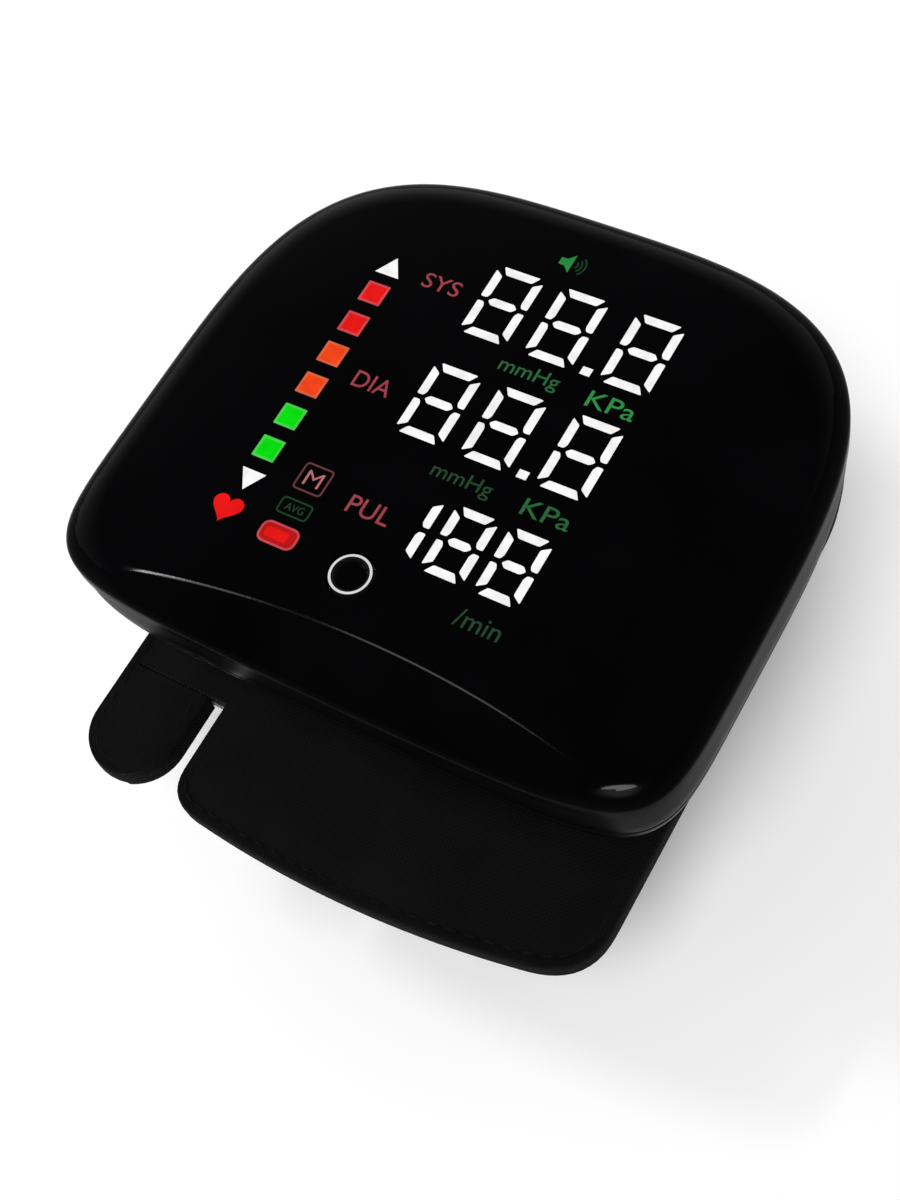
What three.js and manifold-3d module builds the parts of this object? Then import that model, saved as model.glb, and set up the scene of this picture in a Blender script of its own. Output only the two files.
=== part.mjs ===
// Wrist blood pressure monitor: a D shaped case with a glossy lit display, on a padded cuff that
// closes round the wrist. Millimetres, +Z up. The display faces up, +Y is the top of its text, and
// the cuff stands on its flat lower run. Heights inside the case are given as depths under its face.
import * as THREE from "three";
import { mergeVertices } from "three/addons/utils/BufferGeometryUtils.js";
import Module from "manifold-3d";

const wasm = await Module();
wasm.setup();

// Clearances and working values
const gap = 0.3;
const overrun = 2;
const weldDistance = 0.0001;
const flatness = 0.02;
const fineSteps = 64;
const plainSteps = 32;
const roundSteps = 20;
const smallSteps = 12;

// Case outline, seen from above: two half superellipses that meet at the widest line
const caseHalfWidth = 39.6;
const caseReachBack = 41;
const caseReachFront = 26.8;
const caseWidestY = -8.4;
const backPower = 3.4;
const frontPower = 6.6;

// Case heights, as depths under the middle of the face
const lensThickness = 2;
const lensWall = 1.8;
const skirtDepth = 4.2;
const shellWall = 1.6;
const shellSplitDepth = 9.5;
const caseDepth = 17.2;
const crownEdges = [
  { inset: 0, depth: skirtDepth },
  { inset: 0, depth: 2.6 },
  { inset: 0.45, depth: 1.5 },
  { inset: 1.5, depth: 0.75 },
  { inset: 4, depth: 0.35 },
  { inset: 13, depth: 0.1 },
];

// The hull is upright down to a depth and then rounds in to its flat underside
const hullInset = 0.25;
const hullRoundDepth = 7.5;
const hullRoundInset = 4;
const hullRoundPower = 1.7;
const hullRoundSteps = 6;

// Chin: in front of a curved crease the face slopes down to the front wall
const chinX = 1.5;
const chinY = -28.4;
const chinRadius = 119;
const chinRun = 2;

// Cuff: three layers, a fixed sleeve under the case and a lower band that opens
const coverThickness = 0.8;
const stiffenerThickness = 0.6;
const liningThickness = 1.2;
const bandThickness = coverThickness + stiffenerThickness + liningThickness + 2 * gap;
const stiffenerInward = 2;
const cuffHalfWidth = 34.8;
const cuffWaistHalfWidth = 28.4;
const bandHalfWidth = 25.2;
const openingHeight = 32;
const cuffBackY = 34.5;
const cuffFrontY = -36;
const tipLength = 17;
const patchThickness = 0.8;
const patchLength = 13;
const patchInward = 3.2;
const saddle = { height: 6.3, inset: 8, wall: 1.8, bossRadius: 3 };

// Flap and pull tab at the front of the sleeve
const flapTipY = -49.1;
const flapBow = 140;
const flapCorner = 6.5;
const slitCorner = 3;
const slitRootY = -34.5;
const slitWidth = 1.3;
const tabWidth = 12.9;
const tabReach = 13.45;

// Display: real sizes of the digits, bars and button, from the case centre
const digitPitch = 8.5;
const lastDigitPitch = 9.65;
const digitHalfWidth = 2.55;
const digitHalfHeight = 4.5;
const digitX = -5.5;
const upperRowY = 16.15;
const rowPitch = 14.85;
const pulseY = -13.8;
const pulseX = 1.3;
const pulseFirstPitch = 4.6;
const pulsePitch = 6.75;
const pulseHalfWidth = 2.17;
const pulseHalfHeight = 3.85;
const segmentWidth = 0.95;
const segmentGap = 0.35;
const dotOffset = 5;
const barX = -20.5;
const barTopY = 11.8;
const barPitch = 4.73;
const barSize = 2.7;
const barCount = 6;
const buttonX = -3.25;
const buttonY = -21.9;
const ringInnerRadius = 1.92;
const ringOuterRadius = 2.52;
const ringHeight = 1.6;
const buttonTravel = 0.5;
const buttonTopDepth = 0.15;
const flangeThickness = 0.6;

// Parts inside the case
const diffuserDepth = 3;
const diffuserThickness = 0.6;
const segmentRise = 0.7;
const reflectorThickness = 1.1;
const boardThickness = 1;
const plateEdge = 3.9;
const ledgeThickness = 1;
const ledgeWidth = 3.6;
const lipWidth = 1.3;
const windowMargin = 1;
const switchSize = 3.4;
const switchHeight = 1.3;
const switchKeyRadius = 0.9;
const bossRadius = 2.7;
const bossStand = 4.2;
const bossInsets = { frontSide: 11.1, front: 11, backSide: 14.6, back: 16.6 };
const screwRadius = 0.75;
const screwHeadRadius = 1.7;
const screwHeadHeight = 1.2;
const screwReach = 5;
const saddleScrew = { x: 15, inset: 5.7 };
const roomMargin = 0.7;
const socket = { y: 0, length: 7.3, width: 9, height: 3.2, wall: 0.4, inset: 1.3 };
const chargeBoard = { length: 3.4, width: 12, height: 0.9 };
const batteryLengthShare = 0.335;
const batteryHeightShare = 0.6;
const battery = { socketGap: 1.5, bossGap: 5.5, speakerGap: 3, padHeight: 0.5 };
const motor = { batteryGap: 2.5, length: 12.5, shaftRadius: 0.75 };
const pump = { backInset: 25.1, width: 10, length: 10.5, wall: 1.2, outletDrop: 2.2 };
const eccentricOffset = 0.7;
const eccentricRadiusShare = 0.25;
const eccentricLength = 3;
const valve = { batteryGap: 4, pumpGap: 5.1, length: 10, boreDepth: 6 };
const valveRadiusShare = 0.39;
const valveBoreShare = 0.17;
const plungerLength = 8;
const plungerTravel = 0.8;
const sensor = { valveStep: 8, valveGap: 4.1, size: 7, height: 3, portRadius: 1.2, portLength: 2 };
const hoseRadiusShare = 0.184;
const hoseBoreShare = 0.1;
const nozzle = { pumpInset: 2.8, rise: 1.4, flange: 3.4, bore: 0.8 };
const speaker = { batteryInset: 6, backInset: 15.6, radius: 8, coneRadius: 6.4 };
const speakerHeightShare = 0.345;
const speakerConeShare = 0.14;
const speakerHoleRadius = 0.7;
const speakerHoleCount = 6;
const speakerHoleRing = 3.6;
const bladder = { thickness: 0.8, nozzleGap: 5, front: -28, back: 12, corner: 5 };

// Derived heights
const sleeveTopZ = 2 * bandThickness + openingHeight;
const faceZ = sleeveTopZ + gap + saddle.height + gap + caseDepth;
const sleeveMidZ = sleeveTopZ - bandThickness / 2;
const sleeveUnderZ = sleeveTopZ - bandThickness;
const footMidZ = bandThickness / 2;
const patchStack = 2 * patchThickness + 3 * gap;
const reflectorDepth = diffuserDepth + diffuserThickness + gap;
const boardDepth = reflectorDepth + reflectorThickness + gap;
const ledgeDepth = boardDepth + boardThickness + gap;
const floorDepth = caseDepth - shellWall;
const seatDepth = floorDepth - gap;
const roomHeight = seatDepth - ledgeDepth;
const bossReach = caseDepth - bossStand;

// Derived places of the cuff's middle line and of the slit
const backRadius = (sleeveMidZ - footMidZ) / 2;
const backCentreY = cuffBackY - backRadius - bandThickness / 2;
const backCentreZ = footMidZ + backRadius;
const frontRadius = (sleeveMidZ - bandThickness - patchStack - footMidZ) / 2;
const frontCentreY = cuffFrontY + frontRadius + bandThickness / 2;
const frontCentreZ = footMidZ + frontRadius;
const tipMidZ = footMidZ + 2 * frontRadius;
const slitRightX = -cuffHalfWidth + tabWidth + slitWidth;
const originShift = -(flapTipY + cuffBackY) / 2;

// Derived places inside the case, each from its neighbour
const caseFrontY = caseWidestY - caseReachFront;
const caseBackY = caseWidestY + caseReachBack;
const frontBossY = caseFrontY + bossInsets.front;
const bossPlaces = [
  { x: caseHalfWidth - bossInsets.frontSide, y: frontBossY },
  { x: bossInsets.frontSide - caseHalfWidth, y: frontBossY },
  { x: caseHalfWidth - bossInsets.backSide, y: caseBackY - bossInsets.back },
  { x: bossInsets.backSide - caseHalfWidth, y: caseBackY - bossInsets.back },
];
const saddleScrewY = caseFrontY + saddle.inset + saddleScrew.inset;
const saddleScrewPlaces = [
  { x: saddleScrew.x, y: saddleScrewY },
  { x: -saddleScrew.x, y: saddleScrewY },
];
const socketX = socket.inset - caseHalfWidth;
const socketEnd = socketX + socket.length;
const socketTopDepth = seatDepth - chargeBoard.height - gap - socket.height;
const speakerY = caseBackY - speaker.backInset;
const batteryX = socketEnd + battery.socketGap;
const batteryLength = 2 * caseHalfWidth * batteryLengthShare;
const batteryEnd = batteryX + batteryLength;
const batteryFront = frontBossY + bossRadius + battery.bossGap;
const batteryBack = speakerY - speaker.radius - battery.speakerGap;
const batteryHeight = roomHeight * batteryHeightShare;
const speakerX = batteryEnd - speaker.batteryInset;
const pumpHeight = roomHeight - roomMargin;
const pumpY = caseBackY - pump.backInset;
const motorX = batteryEnd + motor.batteryGap;
const motorEnd = motorX + motor.length;
const pumpX = motorEnd + gap;
const eccentricRadius = pumpHeight * eccentricRadiusShare;
const valveRadius = roomHeight * valveRadiusShare;
const valveBore = roomHeight * valveBoreShare;
const valveX = batteryEnd + valve.batteryGap;
const valveY = pumpY - pump.width / 2 - valve.pumpGap - valveRadius;
const sensorX = valveX + sensor.valveStep;
const sensorY = valveY - valveRadius - sensor.valveGap - sensor.size / 2;
const nozzleX = pumpX + pump.length - nozzle.pumpInset;
const nozzleY = valveY;
const hoseRadius = roomHeight * hoseRadiusShare;
const hoseBore = roomHeight * hoseBoreShare;
const nozzleRadius = hoseRadius;
const bladderHalfWidth = nozzleX + bladder.nozzleGap;

// Turns a geometry into a solid that can be cut, and back
function toSolid(geometry) {
  const bare = geometry.clone();
  bare.deleteAttribute("normal");
  bare.deleteAttribute("uv");
  const merged = mergeVertices(bare, weldDistance);
  const mesh = new wasm.Mesh({
    numProp: 3,
    vertProperties: merged.attributes.position.array,
    triVerts: new Uint32Array(merged.index.array),
  });
  return new wasm.Manifold(mesh);
}

function toGeometry(solid) {
  const mesh = solid.getMesh();
  const geometry = new THREE.BufferGeometry();
  geometry.setAttribute("position", new THREE.BufferAttribute(mesh.vertProperties, mesh.numProp));
  geometry.setIndex(new THREE.BufferAttribute(mesh.triVerts, 1));
  geometry.computeVertexNormals();
  return geometry;
}

function join(solids) {
  return solids.reduce((all, one) => all.add(one));
}

function cut(solid, tools) {
  return tools.reduce((left, tool) => left.subtract(tool), solid);
}

const atDepth = (depth) => faceZ - depth;

// Simple solids, each between two heights or two ends
function prism(shape, low, high, steps = smallSteps) {
  const settings = { depth: high - low, bevelEnabled: false, curveSegments: steps };
  const geometry = new THREE.ExtrudeGeometry(shape, settings);
  geometry.translate(0, 0, low);
  return toSolid(geometry);
}

function block(x0, x1, y0, y1, z0, z1) {
  const geometry = new THREE.BoxGeometry(x1 - x0, y1 - y0, z1 - z0);
  geometry.translate((x0 + x1) / 2, (y0 + y1) / 2, (z0 + z1) / 2);
  return toSolid(geometry);
}

function post(x, y, radius, z0, z1, steps = roundSteps) {
  const geometry = new THREE.CylinderGeometry(radius, radius, z1 - z0, steps);
  geometry.rotateX(Math.PI / 2);
  geometry.translate(x, y, (z0 + z1) / 2);
  return toSolid(geometry);
}

function rodAlongX(x0, x1, y, z, radius, steps = roundSteps) {
  const geometry = new THREE.CylinderGeometry(radius, radius, x1 - x0, steps);
  geometry.rotateZ(Math.PI / 2);
  geometry.translate((x0 + x1) / 2, y, z);
  return toSolid(geometry);
}

// A profile drawn in Y and Z, drawn out along X to both sides of the middle
function acrossX(shape, halfWidth) {
  const settings = { depth: 2 * halfWidth, bevelEnabled: false, curveSegments: smallSteps };
  const geometry = new THREE.ExtrudeGeometry(shape, settings);
  geometry.translate(0, 0, -halfWidth);
  const xAxis = new THREE.Vector3(1, 0, 0);
  const yAxis = new THREE.Vector3(0, 1, 0);
  const zAxis = new THREE.Vector3(0, 0, 1);
  geometry.applyMatrix4(new THREE.Matrix4().makeBasis(yAxis, zAxis, xAxis));
  return toSolid(geometry);
}

// Points of the case outline, moved inwards by an inset
function outlinePoints(inset, steps) {
  const points = [];
  for (let i = 0; i < steps; i += 1) {
    const angle = (2 * Math.PI * i) / steps;
    const back = Math.sin(angle) >= 0;
    const power = back ? backPower : frontPower;
    const reach = (back ? caseReachBack : caseReachFront) - inset;
    const across = Math.abs(Math.cos(angle) / (caseHalfWidth - inset)) ** power;
    const along = Math.abs(Math.sin(angle) / reach) ** power;
    const radius = (across + along) ** (-1 / power);
    points.push(new THREE.Vector2(radius * Math.cos(angle), caseWidestY + radius * Math.sin(angle)));
  }
  return points;
}

// The outline as a flat shape, without the points that its straight stretches don't need
function outlineShape(inset, steps) {
  const points = outlinePoints(inset, steps);
  const kept = [points[0]];
  for (let i = 1; i < steps; i += 1) {
    const before = kept[kept.length - 1];
    const after = points[(i + 1) % steps];
    const chord = after.clone().sub(before);
    const offset = points[i].clone().sub(before);
    if (Math.abs(chord.cross(offset)) / chord.length() > flatness) {
      kept.push(points[i]);
    }
  }
  return new THREE.Shape(kept);
}

// A closed body through case outlines stacked from the lowest to the highest edge
function loft(edges, steps) {
  const rings = edges.map((edge) => outlinePoints(edge.inset, steps));
  const vertices = [];
  rings.forEach((ring, level) => {
    ring.forEach((point) => vertices.push(point.x, point.y, atDepth(edges[level].depth)));
  });
  const lowCentre = vertices.length / 3;
  vertices.push(0, caseWidestY, atDepth(edges[0].depth));
  vertices.push(0, caseWidestY, atDepth(edges[edges.length - 1].depth));
  const faces = [];
  const top = (edges.length - 1) * steps;
  for (let i = 0; i < steps; i += 1) {
    const next = (i + 1) % steps;
    for (let base = 0; base < top; base += steps) {
      faces.push(base + i, base + next, base + steps + next);
      faces.push(base + i, base + steps + next, base + steps + i);
    }
    faces.push(lowCentre, next, i);
    faces.push(lowCentre + 1, top + i, top + next);
  }
  const geometry = new THREE.BufferGeometry();
  geometry.setAttribute("position", new THREE.Float32BufferAttribute(vertices, 3));
  geometry.setIndex(faces);
  return toSolid(geometry);
}

// The hull's round bottom, as outlines from the underside upwards
const hullEdges = Array.from({ length: hullRoundSteps + 1 }, (_, i) => {
  const angle = ((hullRoundSteps - i) / hullRoundSteps) * (Math.PI / 2);
  const along = Math.sin(angle) ** (2 / hullRoundPower);
  const across = Math.max(Math.cos(angle), 0) ** (2 / hullRoundPower);
  return {
    inset: hullInset + hullRoundInset * (1 - across),
    depth: hullRoundDepth + (caseDepth - hullRoundDepth) * along,
  };
});

function hullInsetAt(depth) {
  for (let i = 1; i < hullEdges.length; i += 1) {
    const low = hullEdges[i - 1];
    const high = hullEdges[i];
    if (depth >= high.depth) {
      return THREE.MathUtils.mapLinear(depth, high.depth, low.depth, high.inset, low.inset);
    }
  }
  return hullInset;
}

function hullBetween(topDepth, bottomDepth, inward) {
  const inside = hullEdges.filter((edge) => edge.depth > topDepth && edge.depth < bottomDepth);
  const edges = [
    { inset: hullInsetAt(bottomDepth), depth: bottomDepth },
    ...inside,
    { inset: hullInsetAt(topDepth), depth: topDepth },
  ];
  return loft(edges.map((edge) => ({ inset: edge.inset + inward, depth: edge.depth })), fineSteps);
}

// Everything in front of the chin's slope, which starts at the crease and runs down and forwards
function chinCutter(lowered) {
  const geometry = new THREE.CylinderGeometry(chinRadius, chinRadius, 2 * caseDepth, 4 * fineSteps);
  geometry.rotateX(Math.PI / 2);
  const slope = new THREE.Matrix4().makeShear(0, 0, 0, 0, 0, chinRun);
  geometry.applyMatrix4(slope);
  geometry.translate(chinX, chinY - chinRadius, faceZ - lowered);
  return toSolid(geometry);
}

function ringBetween(outerInset, innerInset, topDepth, bottomDepth, steps) {
  const outer = prism(outlineShape(outerInset, steps), atDepth(bottomDepth), atDepth(topDepth));
  const inner = prism(
    outlineShape(innerInset, steps),
    atDepth(bottomDepth + overrun),
    atDepth(topDepth - overrun),
  );
  return outer.subtract(inner);
}

// Display graphics: places of the digits, and the seven bars of one digit
function digitPlaces() {
  const places = [];
  for (let row = 0; row < 2; row += 1) {
    const y = upperRowY - row * rowPitch;
    const xs = [digitX, digitX + digitPitch, digitX + digitPitch + lastDigitPitch];
    xs.forEach((x) => places.push({ x, y, halfWidth: digitHalfWidth, halfHeight: digitHalfHeight }));
  }
  const pulseXs = [pulseX + pulseFirstPitch, pulseX + pulseFirstPitch + pulsePitch];
  pulseXs.forEach((x) => {
    places.push({ x, y: pulseY, halfWidth: pulseHalfWidth, halfHeight: pulseHalfHeight });
  });
  return places;
}

function segmentBars(digit, z0, z1) {
  const bars = [];
  const half = segmentWidth / 2;
  const inner = half + segmentGap;
  for (const level of [-1, 0, 1]) {
    const y = digit.y + level * digit.halfHeight;
    const reach = digit.halfWidth - inner;
    bars.push(block(digit.x - reach, digit.x + reach, y - half, y + half, z0, z1));
  }
  for (const side of [-1, 1]) {
    for (const level of [-1, 1]) {
      const x = digit.x + side * digit.halfWidth;
      const y = digit.y + (level * digit.halfHeight) / 2;
      const reach = digit.halfHeight / 2 - inner;
      bars.push(block(x - half, x + half, y - reach, y + reach, z0, z1));
    }
  }
  return bars;
}

function levelBarPlaces() {
  return Array.from({ length: barCount }, (_, i) => ({ x: barX, y: barTopY - i * barPitch }));
}

// Case shells and display stack
function frontLens() {
  const body = loft(crownEdges, fineSteps).subtract(chinCutter(0));
  const pocket = prism(
    outlineShape(lensWall, fineSteps),
    atDepth(skirtDepth + overrun),
    atDepth(lensThickness),
  );
  const hole = post(
    buttonX,
    buttonY,
    ringOuterRadius + gap,
    atDepth(skirtDepth),
    faceZ + overrun,
    roundSteps * 2,
  );
  return cut(body, [pocket.subtract(chinCutter(lensThickness)), hole]);
}

// The socket's way out, through whichever shell it meets
function socketPort() {
  return block(
    -caseHalfWidth - overrun,
    socketEnd,
    socket.y - socket.width / 2 - gap,
    socket.y + socket.width / 2 + gap,
    atDepth(socketTopDepth + socket.height + gap),
    atDepth(socketTopDepth - gap),
  );
}

function frontShell() {
  const topDepth = skirtDepth + gap;
  const wall = hullBetween(topDepth, shellSplitDepth, 0);
  const hollow = prism(
    outlineShape(hullInset + shellWall, fineSteps),
    atDepth(shellSplitDepth + overrun),
    atDepth(topDepth - overrun),
  );
  const lipInset = lensWall + gap;
  const lip = ringBetween(
    hullInset + lensWall + gap / 2,
    lipInset + lipWidth,
    lensThickness + gap,
    topDepth + ledgeThickness,
    fineSteps,
  ).subtract(chinCutter(lensThickness + gap));
  const bridge = ringBetween(
    hullInset + shellWall / 2,
    lipInset + lipWidth,
    topDepth,
    topDepth + ledgeThickness,
    fineSteps,
  );
  const ledge = ringBetween(
    hullInset + shellWall / 2,
    plateEdge + ledgeWidth,
    ledgeDepth,
    ledgeDepth + ledgeThickness,
    fineSteps,
  );
  const bosses = bossPlaces.map((place) =>
    post(place.x, place.y, bossRadius, atDepth(bossReach), atDepth(ledgeDepth)),
  );
  const arms = bossPlaces.map((place) => {
    const outward = Math.sign(place.x) * (caseHalfWidth - hullInset - shellWall / 2);
    const low = Math.min(place.x, outward);
    const high = Math.max(place.x, outward);
    const arm = block(
      low,
      high,
      place.y - bossRadius / 2,
      place.y + bossRadius / 2,
      atDepth(ledgeDepth + ledgeThickness),
      atDepth(ledgeDepth),
    );
    return arm.intersect(prism(
      outlineShape(hullInset + shellWall / 2, fineSteps),
      atDepth(shellSplitDepth),
      atDepth(topDepth),
    ));
  });
  const pilots = bossPlaces.map((place) =>
    post(
      place.x,
      place.y,
      screwRadius + gap,
      atDepth(bossReach + overrun),
      atDepth(ledgeDepth + ledgeThickness),
      smallSteps,
    ),
  );
  const body = join([wall.subtract(hollow), lip, bridge, ledge, ...bosses, ...arms]);
  return cut(body, [...pilots, socketPort()]);
}

function backShell() {
  const topDepth = shellSplitDepth + gap;
  const body = hullBetween(topDepth, caseDepth, 0);
  const hollow = hullBetween(topDepth, floorDepth, shellWall);
  const mouth = prism(
    outlineShape(hullInsetAt(topDepth) + shellWall, fineSteps),
    atDepth(topDepth + gap),
    atDepth(topDepth - overrun),
  );
  const posts = bossPlaces.map((place) =>
    post(place.x, place.y, bossRadius, atDepth(floorDepth + gap), atDepth(bossReach + gap)),
  );
  const under = atDepth(caseDepth + overrun);
  const seat = atDepth(seatDepth);
  const holes = [socketPort()];
  for (const place of bossPlaces) {
    const headTop = atDepth(caseDepth - screwHeadHeight - 2 * gap);
    holes.push(post(place.x, place.y, screwRadius + gap, under, atDepth(bossReach - overrun)));
    holes.push(post(place.x, place.y, screwHeadRadius + gap, under, headTop));
  }
  for (const place of saddleScrewPlaces) {
    holes.push(post(place.x, place.y, screwRadius + gap, under, seat));
  }
  holes.push(post(nozzleX, nozzleY, nozzleRadius + gap, under, seat));
  for (let i = 0; i < speakerHoleCount; i += 1) {
    const angle = (2 * Math.PI * i) / speakerHoleCount;
    const x = speakerX + speakerHoleRing * Math.cos(angle);
    const y = speakerY + speakerHoleRing * Math.sin(angle);
    holes.push(post(x, y, speakerHoleRadius, under, seat, smallSteps));
  }
  return cut(join([cut(body, [hollow, mouth]), ...posts]), holes);
}

// A flat plate of the display stack, which stops short of the chin
function displayPlate(inset, low, high) {
  const plate = prism(outlineShape(inset, plainSteps), low, high);
  return plate.subtract(chinCutter(lensThickness + gap));
}

function segmentDiffuser() {
  const low = atDepth(diffuserDepth + diffuserThickness);
  const high = atDepth(diffuserDepth);
  const tops = high + segmentRise;
  const plate = displayPlate(plateEdge, low, high);
  const raised = digitPlaces().flatMap((digit) => segmentBars(digit, low, tops));
  const half = segmentWidth / 2;
  for (const level of [-1, 1]) {
    const y = pulseY + (level * pulseHalfHeight) / 2;
    const reach = pulseHalfHeight / 2 - half - segmentGap;
    raised.push(block(pulseX - half, pulseX + half, y - reach, y + reach, low, tops));
  }
  for (const row of [0, 1]) {
    const x = digitX + digitPitch + dotOffset;
    const y = upperRowY - row * rowPitch - digitHalfHeight;
    raised.push(post(x, y, segmentWidth / 2, low, tops, smallSteps));
  }
  for (const bar of levelBarPlaces()) {
    const reach = barSize / 2;
    raised.push(block(bar.x - reach, bar.x + reach, bar.y - reach, bar.y + reach, low, tops));
  }
  const hole = post(buttonX, buttonY, ringOuterRadius + 2 * gap, low - overrun, tops + overrun);
  return join([plate, ...raised]).subtract(hole);
}

function digitReflector() {
  const low = atDepth(reflectorDepth + reflectorThickness);
  const high = atDepth(reflectorDepth);
  const plate = displayPlate(plateEdge, low, high);
  const windows = digitPlaces().map((digit) =>
    block(
      digit.x - digit.halfWidth - windowMargin,
      digit.x + digit.halfWidth + windowMargin,
      digit.y - digit.halfHeight - windowMargin,
      digit.y + digit.halfHeight + windowMargin,
      low - overrun,
      high + overrun,
    ),
  );
  for (const bar of levelBarPlaces()) {
    const reach = barSize / 2 + gap;
    windows.push(block(
      bar.x - reach,
      bar.x + reach,
      bar.y - reach,
      bar.y + reach,
      low - overrun,
      high + overrun,
    ));
  }
  const hole = post(buttonX, buttonY, ringOuterRadius + 2 * gap, low - overrun, high + overrun);
  return cut(plate, [...windows, hole]);
}

function displayBoard() {
  return displayPlate(plateEdge + gap, atDepth(boardDepth + boardThickness), atDepth(boardDepth));
}

// Start button, its light ring and its switch
function startButton() {
  const capLow = ringHeight + gap;
  const cap = post(
    buttonX,
    buttonY,
    ringInnerRadius - gap,
    atDepth(capLow + flangeThickness),
    atDepth(buttonTopDepth),
    roundSteps * 2,
  );
  const flange = post(
    buttonX,
    buttonY,
    ringOuterRadius - gap / 2,
    atDepth(capLow + flangeThickness),
    atDepth(capLow),
  );
  return cap.add(flange);
}

function buttonLightRing() {
  const z0 = atDepth(ringHeight);
  const outer = post(buttonX, buttonY, ringOuterRadius, z0, faceZ, roundSteps * 2);
  const inner = post(
    buttonX,
    buttonY,
    ringInnerRadius,
    z0 - overrun,
    faceZ + overrun,
    roundSteps * 2,
  );
  return outer.subtract(inner);
}

function tactSwitch() {
  const low = atDepth(boardDepth - gap);
  const high = low + switchHeight;
  const reach = switchSize / 2;
  const keyTop = atDepth(ringHeight + gap + flangeThickness + buttonTravel + gap);
  const body = block(
    buttonX - reach,
    buttonX + reach,
    buttonY - reach,
    buttonY + reach,
    low,
    high,
  );
  return body.add(post(buttonX, buttonY, switchKeyRadius, low, keyTop));
}

// Power, air and sound
function batteryCell() {
  const low = atDepth(seatDepth - battery.padHeight - gap);
  const shape = new THREE.Shape();
  const radius = batteryHeight / 2;
  const z = low + radius;
  shape.absarc(batteryFront + radius, z, radius, Math.PI / 2, (3 * Math.PI) / 2);
  shape.absarc(batteryBack - radius, z, radius, -Math.PI / 2, Math.PI / 2);
  const cell = acrossX(shape, batteryLength / 2);
  return cell.translate([batteryX + batteryLength / 2, 0, 0]);
}

function batteryPad() {
  const low = atDepth(seatDepth);
  const edge = batteryHeight / 2;
  return block(
    batteryX,
    batteryEnd,
    batteryFront + edge,
    batteryBack - edge,
    low,
    low + battery.padHeight,
  );
}

const pumpAxisZ = atDepth(seatDepth) + pumpHeight / 2;
const outletZ = atDepth(seatDepth) + pumpHeight - pump.outletDrop;

function pumpMotor() {
  const can = rodAlongX(motorX, motorEnd, pumpY, pumpAxisZ, pumpHeight / 2 - gap);
  const bore = rodAlongX(
    motorX + motor.length / 2,
    motorEnd + overrun,
    pumpY,
    pumpAxisZ,
    motor.shaftRadius + gap,
    smallSteps,
  );
  return can.subtract(bore);
}

function pumpHead() {
  const half = pump.width / 2;
  const low = atDepth(seatDepth);
  const body = block(
    pumpX,
    pumpX + pump.length,
    pumpY - half,
    pumpY + half,
    low,
    low + pumpHeight,
  );
  const chamber = rodAlongX(
    pumpX - overrun,
    pumpX + pump.wall + eccentricLength + 2 * gap,
    pumpY,
    pumpAxisZ,
    eccentricRadius + eccentricOffset + gap,
  );
  const outlet = block(
    nozzleX - hoseBore,
    nozzleX + hoseBore,
    pumpY - half - overrun,
    pumpY - half + pump.wall,
    outletZ - hoseBore,
    outletZ + hoseBore,
  );
  return cut(body, [chamber, outlet]);
}

// At rest the eccentric hangs at the bottom of its turn
function pumpRotor() {
  const start = motorX + motor.length / 2 + gap;
  const end = pumpX + pump.wall;
  const shaft = rodAlongX(start, end, pumpY, pumpAxisZ, motor.shaftRadius, smallSteps);
  const cam = rodAlongX(
    end - pump.wall / 2,
    end + eccentricLength,
    pumpY,
    pumpAxisZ - eccentricOffset,
    eccentricRadius,
  );
  return shaft.add(cam);
}

const valveZ = atDepth(seatDepth) + valveRadius;
const valveBoreStart = valveX + valve.length - valve.boreDepth;

function valveBody() {
  const body = rodAlongX(valveX, valveX + valve.length, valveY, valveZ, valveRadius);
  const boreEnd = valveX + valve.length + overrun;
  return body.subtract(rodAlongX(valveBoreStart, boreEnd, valveY, valveZ, valveBore, smallSteps));
}

function valvePlunger() {
  const start = valveBoreStart + plungerTravel + gap;
  return rodAlongX(start, start + plungerLength, valveY, valveZ, valveBore - gap, smallSteps);
}

function pressureSensor() {
  const top = atDepth(ledgeDepth);
  const reach = sensor.size / 2;
  const low = top - sensor.height;
  const body = block(
    sensorX - reach,
    sensorX + reach,
    sensorY - reach,
    sensorY + reach,
    low,
    top,
  );
  const portLow = low - sensor.portLength;
  return body.add(post(sensorX, sensorY, sensor.portRadius, portLow, top - gap, smallSteps));
}

const bladderTopZ = sleeveTopZ - coverThickness - gap - stiffenerThickness - gap;
const nozzleTop = atDepth(seatDepth) + nozzle.rise;

function bladderNozzle() {
  const stem = post(nozzleX, nozzleY, nozzleRadius, bladderTopZ + gap, nozzleTop);
  const flangeLow = atDepth(seatDepth);
  const flange = post(nozzleX, nozzleY, nozzle.flange, flangeLow, flangeLow + flangeThickness);
  const boreEnd = nozzleTop + overrun;
  const bore = post(nozzleX, nozzleY, nozzle.bore, bladderTopZ - overrun, boreEnd, smallSteps);
  return stem.add(flange).subtract(bore);
}

function airHose() {
  const start = pumpY - pump.width / 2 - gap;
  const route = new THREE.QuadraticBezierCurve3(
    new THREE.Vector3(nozzleX, start, outletZ),
    new THREE.Vector3(nozzleX, nozzleY, outletZ),
    new THREE.Vector3(nozzleX, nozzleY, nozzleTop + gap),
  );
  const section = new THREE.Shape();
  section.absarc(0, 0, hoseRadius, 0, 2 * Math.PI);
  const hole = new THREE.Path();
  hole.absarc(0, 0, hoseBore, 0, 2 * Math.PI, true);
  section.holes.push(hole);
  const settings = { steps: smallSteps, extrudePath: route, curveSegments: smallSteps / 2 };
  return toSolid(new THREE.ExtrudeGeometry(section, settings));
}

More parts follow.
